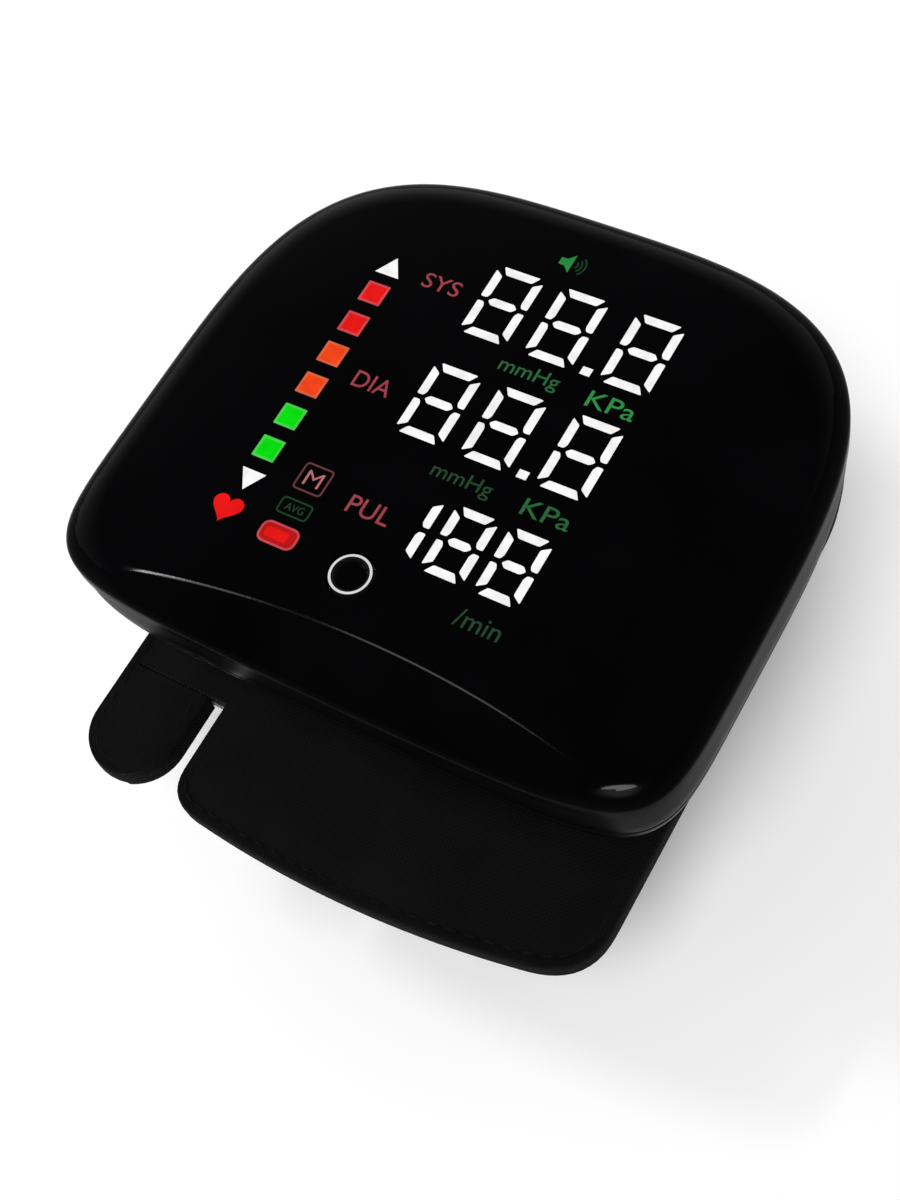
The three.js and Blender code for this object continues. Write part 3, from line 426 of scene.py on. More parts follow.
def board_look(name):
    """Green solder mask with straight copper tracks under it."""
    green, track = (0.02, 0.13, 0.06), (0.04, 0.24, 0.11)
    look = Look(name, green, 0.35, Specular_IOR_Level=0.5)
    place = look.coordinates(scale=(420.0, 420.0, 1.0))
    bricks = look.node("ShaderNodeTexBrick", {"Vector": place})
    bricks.inputs["Scale"].default_value = 0.5
    bricks.inputs["Mortar Size"].default_value = 0.05
    bricks.inputs["Color1"].default_value = (*green, 1)
    bricks.inputs["Color2"].default_value = (*[c * 0.8 for c in green], 1)
    bricks.inputs["Mortar"].default_value = (*track, 1)
    look.link(bricks.outputs["Color"], "Base Color")
    look.bump(bricks.outputs["Fac"], 0.00003)
    return look.material


def make_looks():
    made = {key: lamp_look(name, colour) for key, (name, colour) in LAMPS.items()}
    made.update({
        "lens": gloss_look("lens_gloss", (0.001, 0.001, 0.0013), 0.07, 0.085, 1.4),
        "wall": gloss_look("lens_wall", (0.001, 0.001, 0.0013), 0.22, 0.015, 1.4),
        "shell": gloss_look("shell_gloss", (0.0012, 0.0012, 0.0016), 0.3, 0.02, 1.5),
        "inner": moulded_look("inner_moulded", (0.02, 0.02, 0.022), 0.6, 1500.0),
        "steel": metal_look("drawn_steel", (0.6, 0.61, 0.63), 0.28, (1.0, 0.08, 1.0)),
        "cell": metal_look("cell_foil", (0.5, 0.56, 0.66), 0.36, (1.0, 1.0, 0.3)),
        "rubber": moulded_look("soft_rubber", (0.62, 0.62, 0.58), 0.7, 2200.0),
        "guide": moulded_look("light_guide", (0.78, 0.8, 0.82), 0.4, 1800.0),
        "board": board_look("display_board_mask"),
        "cover": woven_look("cover_nylon", (0.0024, 0.0024, 0.0028), 0.62, 0.012),
        "binding": woven_look("binding_tape", (0.0022, 0.0022, 0.0026), 0.5, 0.012, 0.00008, 0.9),
        "lining": woven_look("lining_knit", (0.013, 0.013, 0.0145), 0.9, 0.3, 0.00012, 0.92),
        "thread": pile_look("sewing_thread", (0.003, 0.003, 0.0034), 5000.0, 0.00005),
        "pile": pile_look("touch_pile", (0.016, 0.016, 0.018), 3200.0, 0.0003),
        "ring": ring_look("lamp_ring"),
    })
    return made


# --- mesh helpers ----------------------------------------------------------------------------


def build(name, points, faces, look, body, slot, sharp=40.0):
    """A mesh object from millimetre points, turned outwards, smooth but for its sharp edges."""
    mesh = bpy.data.meshes.new(name)
    placed = [(x * MM, (y + SHIFT) * MM, z * MM) for x, y, z in points]
    mesh.from_pydata(placed, [], faces)
    work = bmesh.new()
    work.from_mesh(mesh)
    bmesh.ops.recalc_face_normals(work, faces=work.faces)
    work.to_mesh(mesh)
    work.free()
    piece = bpy.data.objects.new(name, mesh)
    bpy.context.scene.collection.objects.link(piece)
    mesh.materials.append(looks[look])
    soften(mesh, sharp)
    if body:
        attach(piece, body)
    return piece


def soften(mesh, sharp):
    mesh.shade_smooth()
    mesh.set_sharp_from_angle(angle=math.radians(sharp))


def box_of(node):
    """The corners of a CAD node's box, in millimetres from the case's centre line."""
    return [np.array(corner) / MM - np.array([0, SHIFT, 0]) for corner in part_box(node)]


def between_rings(base, count, levels, loop=False):
    """The faces between rings of points whose first point has the index base."""
    faces = []
    for level in range(levels if loop else levels - 1):
        here, there = base + level * count, base + (level + 1) % levels * count
        for i in range(count):
            j = (i + 1) % count
            faces.append((here + i, here + j, there + j, there + i))
    return faces


def bars(all_rings):
    """Points and faces of closed bars, each given as its rings."""
    points, faces = [], []
    for rings in all_rings:
        base, count, levels = len(points), len(rings[0]), len(rings)
        points += [tuple(point) for ring in rings for point in ring]
        faces += between_rings(base, count, levels)
        faces += [tuple(range(end, end + count)) for end in (base, base + (levels - 1) * count)]
    return points, faces


def swept(name, rings, look, slot, loop=False, sharp=40.0):
    """Rings of points joined in order: a closed hoop, or a body with a point at each end."""
    count = len(rings[0])
    points = [tuple(point) for ring in rings for point in ring]
    levels = len(rings)
    faces = between_rings(0, count, levels, loop)
    if not loop:
        for level in (0, levels - 1):
            centre = np.mean(rings[level], axis=0)
            points.append(tuple(centre))
            last, base = len(points) - 1, level * count
            faces += [(last, base + i, base + (i + 1) % count) for i in range(count)]
    return build(name, points, faces, look, "root", slot, sharp)


# --- case ------------------------------------------------------------------------------------


def outline(inset):
    angle = np.arange(RING_COUNT) * 2 * np.pi / RING_COUNT
    cos, sin = np.cos(angle), np.sin(angle)
    power = np.where(sin >= 0, BACK_POWER, FRONT_POWER)
    reach = np.where(sin >= 0, REACH_BACK, REACH_FRONT) - inset
    total = np.abs(cos / (HALF_WIDTH - inset)) ** power + np.abs(sin / reach) ** power
    radius = total ** (-1 / power)
    return radius * cos, WIDEST_Y + radius * sin


def inset_at(x, y):
    """How far inside the outline a point lies, found by halving."""
    low, high = np.zeros_like(x), np.full_like(x, REACH_FRONT - 1)
    power = np.where(y >= WIDEST_Y, BACK_POWER, FRONT_POWER)
    reach = np.where(y >= WIDEST_Y, REACH_BACK, REACH_FRONT)
    for _ in range(30):
        middle = (low + high) / 2
        total = np.abs(x / (HALF_WIDTH - middle)) ** power
        total += np.abs((y - WIDEST_Y) / (reach - middle)) ** power
        inside = total < 1
        low, high = np.where(inside, middle, low), np.where(inside, high, middle)
    return low


def rounded_off(inset, width, drop):
    """How far an edge falls over its last width, as a quarter ellipse."""
    share = np.clip(1 - inset / width, 0, 1)
    return drop * (1 - np.sqrt(1 - share**2))


def chin_depth(x, y):
    crease = CHIN_Y - CHIN_RADIUS + np.sqrt(CHIN_RADIUS**2 - (x - CHIN_X) ** 2)
    return (crease - y) / CHIN_RUN


def face_depth(inset, x, y):
    crown = DOME_DEPTH + DOME_DROP * np.clip(1 - inset / DOME_WIDTH, 0, 1) ** 2
    crown = crown + rounded_off(inset, SHOULDER_WIDTH, SHOULDER_DROP)
    chin = chin_depth(x, y) + rounded_off(inset, CHIN_EDGE, CHIN_EDGE)
    depth = (crown + chin + np.sqrt((crown - chin) ** 2 + CREASE_ROUND**2)) / 2
    return np.minimum(depth, SKIRT_DEPTH - GAP)


def face_height(x, y):
    x, y = np.asarray(x, float), np.asarray(y, float)
    return FACE_Z - face_depth(inset_at(x, y), x, y)


def level_ring(inset, depth):
    x, y = outline(inset)
    return np.stack([x, y, np.full_like(x, FACE_Z - depth)], axis=1)


def face_ring(inset, lowered=0.0):
    x, y = outline(inset)
    depth = face_depth(np.full_like(x, inset), x, y) + lowered
    return np.stack([x, y, FACE_Z - np.minimum(depth, SKIRT_DEPTH)], axis=1)


def inner_rings(ring, steps):
    """Rings that shrink from the given one to near its centre, on the flat of the face."""
    centre = np.array([0, WIDEST_Y, 0])
    flat = ring[:, 2:3] * np.array([[0, 0, 1]])
    return [centre + (ring - centre - flat) * k / steps + flat for k in range(steps - 1, 0, -1)]


def hull_inset(depth):
    share = np.clip((depth - ROUND_DEPTH) / (CASE_DEPTH - ROUND_DEPTH), 0, 1)
    return HULL_INSET + ROUND_INSET * (1 - (1 - share**ROUND_POWER) ** (1 / ROUND_POWER))


def make_lens():
    insets = np.concatenate([
        CHIN_EDGE * (1 - np.cos(np.linspace(0, np.pi / 2, 7))),
        np.arange(CHIN_EDGE + FACE_STEP, FINE_REACH, FACE_STEP),
        np.linspace(FINE_REACH, DOME_WIDTH, 9),
    ])
    top = [face_ring(inset) for inset in insets]
    crown = inner_rings(top[-1], 12)
    skirt = [level_ring(0, SKIRT_DEPTH - 0.08), level_ring(0.1, SKIRT_DEPTH)]
    rim = [level_ring(LENS_WALL, SKIRT_DEPTH)]
    under = [face_ring(inset, LENS_THICKNESS)
             for inset in (LENS_WALL + 0.05, 4.0, FINE_REACH, DOME_WIDTH)]
    rings = crown[::-1] + top[::-1] + skirt + rim + under
    piece = swept("lens_gloss_cap", rings, "lens", "lens")
    carve(piece, [drill(BUTTON_X, BUTTON_Y, RING_HOLE, FACE_Z - SKIRT_DEPTH, FACE_Z + CUT_OVERRUN)])
    piece.data.materials.append(looks["wall"])
    for face in piece.data.polygons:
        if face.normal.z < STEEP:
            face.material_index = 1
    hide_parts("front_lens")


def make_ring():
    """The light guide round the button, turned about its axis."""
    turned = np.linspace(0, 2 * np.pi, 120, endpoint=False)
    soft = 0.05
    profile = [(RING_INNER, RING_BASE), (RING_OUTER, RING_BASE), (RING_OUTER, FACE_Z - soft),
               (RING_OUTER - soft, FACE_Z), (RING_LIT, FACE_Z), (RING_INNER + soft, FACE_Z),
               (RING_INNER, FACE_Z - soft)]
    rings = [np.stack([BUTTON_X + radius * np.cos(turned), BUTTON_Y + radius * np.sin(turned),
                       np.full_like(turned, z)], axis=1) for radius, z in profile]
    piece = swept("button_ring_guide", rings, "ring", "lit_plastic", loop=True, sharp=30.0)
    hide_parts("button_light_ring")


def bevelled_wall(top, bottom, steps):
    """Outer wall of the hull between two depths, with its edges taken off."""
    soft = SEAM_BEVEL * (1 - np.sin(np.linspace(0, np.pi / 2, 4)))
    drop = SEAM_BEVEL * (1 - np.cos(np.linspace(0, np.pi / 2, 4)))
    middle = np.linspace(top + SEAM_BEVEL, bottom - SEAM_BEVEL, steps)[1:-1]
    depths = list(top + drop) + list(middle)
    insets = [hull_inset(d) + extra for d, extra in zip(depths, list(soft) + [0] * steps)]
    for extra, less in zip(soft[::-1], drop[::-1]):
        depths.append(bottom - less)
        insets.append(hull_inset(bottom - less) + extra)
    return [level_ring(inset, depth) for inset, depth in zip(insets, depths)]


def ledge(top):
    """Rings of the step that rises inside a seam and closes it from view."""
    rise = top - GAP + LEDGE_PLAY
    return [level_ring(hull_inset(top) + SHELL_WALL, rise),
            level_ring(hull_inset(top) + LEDGE_INSET, rise),
            level_ring(hull_inset(top) + LEDGE_INSET, top)]


def make_side_wall():
    top, bottom = SKIRT_DEPTH + GAP, SPLIT_DEPTH
    outer = bevelled_wall(top, bottom, 12)
    inner = [level_ring(hull_inset(d) + SHELL_WALL, d) for d in np.linspace(bottom, top, 6)]
    rings = ledge(top) + outer + inner
    piece = swept("case_side_wall", rings, "shell", "shell", loop=True)
    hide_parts("front_shell")


def make_tray():
    top, floor = SPLIT_DEPTH + GAP, CASE_DEPTH - SHELL_WALL
    shares = np.sin(np.linspace(0, np.pi / 2, 30)) ** (2 / ROUND_POWER)
    depths = ROUND_DEPTH + (CASE_DEPTH - ROUND_DEPTH) * shares
    wall = bevelled_wall(top, top + TRAY_EDGE, 4)[:6]
    outer = wall + [level_ring(hull_inset(d), d) for d in depths if d > top + TRAY_EDGE]
    under = inner_rings(outer[-1], 8)
    inner = [level_ring(hull_inset(d) + SHELL_WALL, d) for d in np.linspace(top, floor, 8)]
    rings = under[::-1] + outer[::-1] + ledge(top)[::-1] + inner + inner_rings(inner[-1], 6)
    piece = swept("case_tray", rings, "shell", "shell")
    carve(piece, tray_cutters())
    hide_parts("back_shell")


def tray_cutters():
    """The socket's port, the screws' wells and the speaker's ring of holes, from the CAD boxes."""
    low, high = box_of("charge_socket")
    cutters = [box_solid((low[0] - PORT_REACH, low[1] - GAP, low[2] - GAP),
                         (high[0], high[1] + GAP, high[2] + GAP))]
    under = FACE_Z - CASE_DEPTH
    for i in range(1, 5):
        low, high = box_of(f"case_screw_{i}")
        x, y, _ = (low + high) / 2
        cutters.append(drill(x, y, (high[0] - low[0]) / 2 + GAP, under - CUT_OVERRUN,
                             FACE_Z - SPLIT_DEPTH))
    x, y, _ = sum(box_of("speaker")) / 2
    for i in range(SPEAKER_HOLES):
        angle = 2 * math.pi * i / SPEAKER_HOLES
        cutters.append(drill(x + SPEAKER_RING * math.cos(angle), y + SPEAKER_RING * math.sin(angle),
                             SPEAKER_HOLE, under - CUT_OVERRUN, under + 3 * CUT_OVERRUN))
    return cutters


def drill(x, y, radius, low, high):
    work = bmesh.new()
    bmesh.ops.create_cone(work, cap_ends=True, segments=48, radius1=radius * MM,
                          radius2=radius * MM, depth=(high - low) * MM)
    place = Vector((x, y + SHIFT, (low + high) / 2)) * MM
    bmesh.ops.translate(work, verts=work.verts, vec=place)
    return cutter_object(work)


def box_solid(low, high):
    """A box between two corners, with its edges along x rounded."""
    work = bmesh.new()
    bmesh.ops.create_cube(work, size=1)
    low, high = [Vector((corner[0], corner[1] + SHIFT, corner[2])) * MM for corner in (low, high)]
    place = Matrix.Translation((low + high) / 2) @ Matrix.Diagonal((*(high - low), 1))
    bmesh.ops.transform(work, verts=work.verts, matrix=place)
    along = [edge for edge in work.edges
             if abs(edge.verts[0].co.x - edge.verts[1].co.x) > (high.x - low.x) / 2]
    bmesh.ops.bevel(work, geom=along, offset=PORT_ROUND * MM, segments=5, affect="EDGES")
    return cutter_object(work)


def cutter_object(work):
    mesh = bpy.data.meshes.new("cutter")
    bmesh.ops.recalc_face_normals(work, faces=work.faces)
    work.to_mesh(mesh)
    work.free()
    cutter = bpy.data.objects.new("cutter", mesh)
    bpy.context.scene.collection.objects.link(cutter)
    return cutter


def carve(piece, cutters):
    """Takes the cutters out of a piece and applies the result."""
    for cutter in cutters:
        change = piece.modifiers.new("carve", "BOOLEAN")
        change.operation, change.solver, change.object = "DIFFERENCE", "EXACT", cutter
    bake(piece)
    for cutter in cutters:
        mesh = cutter.data
        bpy.data.objects.remove(cutter)
        bpy.data.meshes.remove(mesh)
    soften(piece.data, 40.0)


def bake(piece):
    """Applies a piece's modifiers to its mesh."""
    graph = bpy.context.evaluated_depsgraph_get()
    graph.update()
    result = bpy.data.meshes.new_from_object(piece.evaluated_get(graph))
    old = piece.data
    piece.modifiers.clear()
    piece.data = result
    name = old.name
    bpy.data.meshes.remove(old)
    result.name = name


# --- display ---------------------------------------------------------------------------------


def slab(polygons):
    """Thin closed plates from flat outlines, as points and faces."""
    points, faces = [], []
    for polygon in polygons:
        count, base = len(polygon), len(points)
        for rise in (MARK_RISE, -MARK_RISE):
            points += [(x, y, rise) for x, y in polygon]
        faces.append(tuple(range(base, base + count)))
        faces.append(tuple(range(base + 2 * count - 1, base + count - 1, -1)))
        for i in range(count):
            j = (i + 1) % count
            faces.append((base + i, base + count + i, base + count + j, base + j))
    return points, faces


def mark(name, polygons, look, lift=0.0):
    """Lit print that lies on the face and follows its crown."""
    points, faces = slab(polygons)
    flat = np.array(points)
    flat[:, 2] += face_height(flat[:, 0], flat[:, 1]) + lift
    return build(name, flat, faces, look, "root", "lit_plastic", 60.0)


def segment_polygons(x, y, half_width, half_height, names="abcdefg"):
    """A digit's bars with mitred ends: a top, b c right, d bottom, e f left, g middle."""
    t = SEGMENT_WIDTH / 2
    g = SEGMENT_GAP

    def flat(level):
        cy = y + level * half_height
        reach = half_width - g
        if level:
            inner = cy - level * t
            outer = cy + level * t
            return [(x - reach - t + g, outer), (x + reach + t - g, outer), (x + reach - t, inner),
                    (x - reach + t, inner)]
        reach -= g
        return [(x - reach, cy), (x - reach + t, cy + t), (x + reach - t, cy + t), (x + reach, cy),
                (x + reach - t, cy - t), (x - reach + t, cy - t)]

    def upright(side, level):
        cx = x + side * half_width
        far = y + level * (half_height - g)
        near = y + level * g
        outer, inner = cx + side * t, cx - side * t
        return [(outer, far + level * (t - g)), (inner, far - level * t), (inner, near + level * t),
                (cx - side * t / 2, near), (outer, near)]

    shapes = {"a": flat(1), "g": flat(0), "d": flat(-1), "f": upright(-1, 1), "e": upright(-1, -1),
              "b": upright(1, 1), "c": upright(1, -1)}
    return [eased(shapes[n], SEGMENT_ROUND) for n in names]


def eased(polygon, radius):
    """The polygon with each corner cut back and rounded."""
    points = []
    last, first = polygon[-1:] + polygon[:-1], polygon[1:] + polygon[:1]
    for before, corner, after in zip(last, polygon, first):
        ends = []
        for other in (before, after):
            span = math.dist(corner, other)
            share = min(radius / span, 0.45)
            ends.append([c + (o - c) * share for c, o in zip(corner, other)])
        for k in range(4):
            points.append(tuple(curve_point(a, c, b, k / 3)
                                for a, c, b in zip(ends[0], corner, ends[1])))
    return points


def rectangle(x, y, width, height, corner=0.0):
    w, h = width / 2, height / 2
    if not corner:
        return [(x - w, y - h), (x + w, y - h), (x + w, y + h), (x - w, y + h)]
    points = []
    for i, (sx, sy) in enumerate(((1, 1), (-1, 1), (-1, -1), (1, -1))):
        for k in range(6):
            angle = math.pi / 2 * (i + k / 5)
            points.append((x + sx * (w - corner) + corner * math.cos(angle),
                           y + sy * (h - corner) + corner * math.sin(angle)))
    return points


def frame_polygons(x, y, width, height, corner, line):
    """A rounded frame of one line width, as a row of small quads."""
    outer = rectangle(x, y, width, height, corner)
    inner = rectangle(x, y, width - 2 * line, height - 2 * line, max(corner - line, 0.05))
    count = len(outer)
    return [[outer[i], outer[(i + 1) % count], inner[(i + 1) % count], inner[i]]
            for i in range(count)]


def heart_polygon(x, y, size):
    points = []
    for i in range(40):
        t = 2 * math.pi * i / 40
        px = 16 * math.sin(t) ** 3
        py = 13 * math.cos(t) - 5 * math.cos(2 * t) - 2 * math.cos(3 * t) - math.cos(4 * t)
        points.append((x + px * size / 32, y + (py + 2.5) * size / 32))
    return points


def arc_band(x, y, radius, line, start, end):
    outer, inner = [], []
    for k in range(9):
        angle = math.radians(start + (end - start) * k / 8)
        outer.append((x + (radius + line) * math.cos(angle), y + (radius + line) * math.sin(angle)))
        inner.append((x + radius * math.cos(angle), y + radius * math.sin(angle)))
    return [[inner[k], inner[k + 1], outer[k + 1], outer[k]][::-1] for k in range(8)]


def sign(name, text, x, y, height, width, look, weight=0.0):
    """A word in Blender's own font, laid on the face between the given width and height."""
    curve = bpy.data.curves.new(name, "FONT")
    curve.body = text
    curve.extrude = MARK_RISE
    curve.offset = weight
    curve.resolution_u = 4
    holder = bpy.data.objects.new(name, curve)
    bpy.context.scene.collection.objects.link(holder)
    graph = bpy.context.evaluated_depsgraph_get()
    mesh = bpy.data.meshes.new_from_object(holder.evaluated_get(graph))
    bpy.data.objects.remove(holder)
    points = np.array([v.co[:] for v in mesh.vertices])
    faces = [tuple(p.vertices) for p in mesh.polygons]
    bpy.data.meshes.remove(mesh)
    low, high = points.min(axis=0), points.max(axis=0)
    middle = (low + high) / 2
    points[:, 0] = x + (points[:, 0] - middle[0]) * width / (high[0] - low[0])
    points[:, 1] = y + (points[:, 1] - middle[1]) * height / (high[1] - low[1])
    points[:, 2] = np.sign(points[:, 2]) * MARK_RISE + face_height(points[:, 0], points[:, 1])
    work = build(name, points, faces, look, "root", "lit_plastic", 60.0)
    weld(work)
    return work


def weld(piece):
    work = bmesh.new()
    work.from_mesh(piece.data)
    bmesh.ops.remove_doubles(work, verts=work.verts, dist=0.000001)
    bmesh.ops.recalc_face_normals(work, faces=work.faces)
    work.to_mesh(piece.data)
    work.free()


def make_display():
    for row, word in enumerate(("upper", "middle")):
        y = DIGIT_Y - row * ROW_PITCH
        for i, x in enumerate(DIGIT_XS):
            mark(f"{word}_digit_{i + 1}", segment_polygons(x, y, *DIGIT_HALF), "white")
        mark(f"{word}_point", [rectangle(DOT_X, y - DIGIT_HALF[1], DOT_SIZE, DOT_SIZE * 0.85)],
             "white")
    for i, x in enumerate(PULSE_XS):
        mark(f"pulse_digit_{i + 2}", segment_polygons(x, PULSE_Y, *PULSE_HALF), "white")
    one = segment_polygons(PULSE_ONE_X - PULSE_HALF[0], PULSE_Y, *PULSE_HALF, names="bc")
    mark("pulse_digit_1", one, "white")
    for i, look in enumerate(BAR_LOOKS):
        x, y = BAR_X, BAR_TOP_Y - i * BAR_PITCH
        core = BAR_SIZE - 2 * BAR_RIM
        mark(f"level_bar_{i + 1}", [rectangle(x, y, core, core)], look)
        rim = frame_polygons(x, y, BAR_SIZE, BAR_SIZE, 0.1, BAR_RIM)
        mark(f"level_rim_{i + 1}", rim, look + "_rim")
    for name, x, y, way in ARROWS:
        base = y - way * ARROW_BASE
        tip = (x, y + way * ARROW_TIP)
        mark(name, [[(x - ARROW_HALF, base), (x + ARROW_HALF, base), tip]], "white")
    mark("pulse_heart", [heart_polygon(*HEART)], "red")
    x, y = CELL_PLACE
    mark("cell_frame", frame_polygons(x, y, 4.9, 2.8, 1.0, 0.26), "red_rim")
    mark("cell_level", [rectangle(x, y, 4.38, 2.28, 0.74)], "deep_red")
    mark("cell_core", [rectangle(x - 0.25, y, 2.9, 1.3, 0.3)], "red", MARK_RISE * 0.6)
    mark("memory_frame", frame_polygons(*MEMORY_PLACE, 3.8, 3.65, 0.5, 0.2), "dull_red_sign")
    sign("memory_letter", "M", *MEMORY_PLACE, 1.95, 2.05, "pale_red_sign", -0.008)
    mark("average_frame", frame_polygons(*AVERAGE_PLACE, 4.1, 2.2, 0.5, 0.2), "dim_sign")
    for word in WORDS:
        sign(*word)
    x, y = SOUND_PLACE
    horn = [(x - 1.6, y - 0.5), (x - 0.8, y - 0.5), (x, y - 1.35), (x, y + 1.35),
            (x - 0.8, y + 0.5), (x - 1.6, y + 0.5)]
    mark("sound_horn", [eased(horn, 0.15)], "green_sign")
    waves = [band for radius in (0.5, 1.0, 1.5)
             for band in arc_band(x + 0.1, y, radius, 0.18, -48, 48)]
    mark("sound_waves", waves, "dim_sign")


# --- cuff ------------------------------------------------------------------------------------


def round_back(angle, x, full, offset):
    """A point of the round back at an angle over its middle, where the cuff is narrowest."""
    width = WAIST_HALF_WIDTH + (full - WAIST_HALF_WIDTH) * math.sin(angle) ** 2
    radius = BACK_RADIUS + offset
    return np.array([x * width / full, BACK_Y + radius * math.cos(angle),
                     BACK_Z + radius * math.sin(angle)])


def sleeve_place(s, x, offset):
    """A point of the sleeve: s along its middle line from the start of the back bend."""
    if s <= 0:
        return np.array([x, BACK_Y + s, SLEEVE_MID + offset])
    return round_back(math.pi / 2 - s / BACK_RADIUS, x, CUFF_HALF_WIDTH, offset)


BACK_RUN = BACK_RADIUS * math.pi / 2
FOOT_RUN = BACK_Y - FRONT_Y
FRONT_RUN = FRONT_RADIUS * math.pi


def band_place(s, x, offset):
    """A point of the band: s along its middle line from the hinge at the back, downwards."""
    if s <= BACK_RUN:
        return round_back(-s / BACK_RADIUS, x, BAND_HALF_WIDTH, offset)
    if s <= BACK_RUN + FOOT_RUN:
        return np.array([x, BACK_Y - (s - BACK_RUN), FOOT_MID - offset])
    turned = s - BACK_RUN - FOOT_RUN
    if turned <= FRONT_RUN:
        angle = -math.pi / 2 - turned / FRONT_RADIUS
        radius = FRONT_RADIUS + offset
        return np.array([x, FRONT_Y + radius * math.cos(angle), FRONT_Z + radius * math.sin(angle)])
    return np.array([x, FRONT_Y + turned - FRONT_RUN, FRONT_Z + FRONT_RADIUS + offset])


def bow_y(x):
    return FLAP_TIP_Y + FLAP_BOW - math.sqrt(FLAP_BOW**2 - x * x)


def curve_point(a, b, c, t):
    return (1 - t) ** 2 * a + 2 * (1 - t) * t * b + t * t * c


def flap_front(margin):
    """Points of the flap's front edge from the slit to the right side: (x, y) pairs."""
    left, right = SLIT_RIGHT + margin, CUFF_HALF_WIDTH - margin
    points = []
    end = left + SLIT_CORNER
    for k in range(6):
        t = k / 6
        x = curve_point(left, left, end, t)
        y = curve_point(bow_y(left) + SLIT_CORNER, bow_y(left), bow_y(end), t)
        points.append((x, y + margin))
    start = right - FLAP_CORNER
    for k in range(24):
        x = end + (start - end) * k / 24
        points.append((x, bow_y(x) + margin))
    for k in range(11):
        t = k / 10
        x = curve_point(start, right, right, t)
        y = curve_point(bow_y(start), bow_y(right), bow_y(right) + FLAP_CORNER, t)
        points.append((x, y + margin))
    return points


def sleeve_grid(margin):
    """Rows of (s, x) places over the sleeve's plan, with None where the pull tab is cut out."""
    front = flap_front(margin)
    side = CUFF_HALF_WIDTH - margin
    left_columns = [-side + (SLIT_RIGHT + margin + side) * k / 9 for k in range(9)]
    root = SLIT_ROOT_Y - BACK_Y + margin
    rows = []
    for k in range(9):
        share = k / 9
        row = [None] * len(left_columns)
        row += [((y - BACK_Y) + (root - (y - BACK_Y)) * share, x) for x, y in front]
        rows.append(row)
    columns = left_columns + [x for x, _ in front]
    end = BACK_RUN - GAP / 2
    for s in list(np.linspace(root, 0, 32)) + list(np.linspace(0, end, 20))[1:]:
        rows.append([(s, x) for x in columns])
    return rows


def tip_end(x, margin):
    """How far the band's tip reaches at x, with its corners rounded."""
    half = BAND_HALF_WIDTH - margin
    end = BACK_RUN + FOOT_RUN + FRONT_RUN + TIP_LENGTH - margin
    over = abs(x) - (half - FLAP_CORNER)
    if over <= 0:
        return end
    t = math.sqrt(max(0.0, 1 - over / FLAP_CORNER))
    return end - FLAP_CORNER * (1 - t) ** 2


def band_grid(margin):
    half = BAND_HALF_WIDTH - margin
    corner = [half - FLAP_CORNER * (1 - k / 7) ** 2 for k in range(8)]
    middle = list(np.linspace(-corner[0], corner[0], 24))[1:-1]
    columns = [-x for x in corner[::-1]] + middle + corner
    start = GAP / 2
    bend = BACK_RUN + FOOT_RUN + FRONT_RUN
    fixed = list(np.linspace(start, BACK_RUN, 18))
    fixed += list(np.linspace(BACK_RUN, BACK_RUN + FOOT_RUN, 20))[1:]
    fixed += list(np.linspace(BACK_RUN + FOOT_RUN, bend, 30))[1:]
    rows = [[(s, x) for x in columns] for s in fixed]
    for k in range(1, 12):
        rows.append([(bend + (tip_end(x, margin) - bend) * k / 11, x) for x in columns])
    return rows


def panel(name, grid, place, low, high, look, slot, puff=0.0):
    """A closed slab of cloth over a grid, between two offsets from the middle line."""
    index, flat = {}, []
    for j, row in enumerate(grid):
        for i, spot in enumerate(row):
            if spot is not None:
                index[j, i] = len(flat)
                flat.append(spot)
    quads = []
    for j in range(len(grid) - 1):
        for i in range(len(grid[j]) - 1):
            corners = [(j, i), (j, i + 1), (j + 1, i + 1), (j + 1, i)]
            if all(corner in index for corner in corners):
                quads.append([index[corner] for corner in corners])
    edges = {}
    for quad in quads:
        for a, b in zip(quad, quad[1:] + quad[:1]):
            edges.setdefault(tuple(sorted((a, b))), []).append((a, b))
    rim = [found[0] for found in edges.values() if len(found) == 1]
    count = len(flat)
    points = [place(s, x, high) for s, x in flat] + [place(s, x, low) for s, x in flat]
    faces = [tuple(quad) for quad in quads]
    faces += [tuple(count + v for v in reversed(quad)) for quad in quads]
    faces += [(b, a, count + a, count + b) for a, b in rim]
    piece = build(name, points, faces, look, None, slot)
    map_cloth(piece, flat + flat)
    if puff:
        near = {v for pair in rim for v in pair}
        grown = {v for quad in quads if near & set(quad) for v in quad}
        inflate(piece, grown | {v + count for v in grown}, puff)
    return piece


def map_cloth(piece, places):
    """Lays the cloth's own directions over the mesh, in millimetres."""
    layer = piece.data.uv_layers.new(name="UVMap")
    for loop in piece.data.loops:
        s, x = places[loop.vertex_index]
        layer.data[loop.index].uv = (x, s)


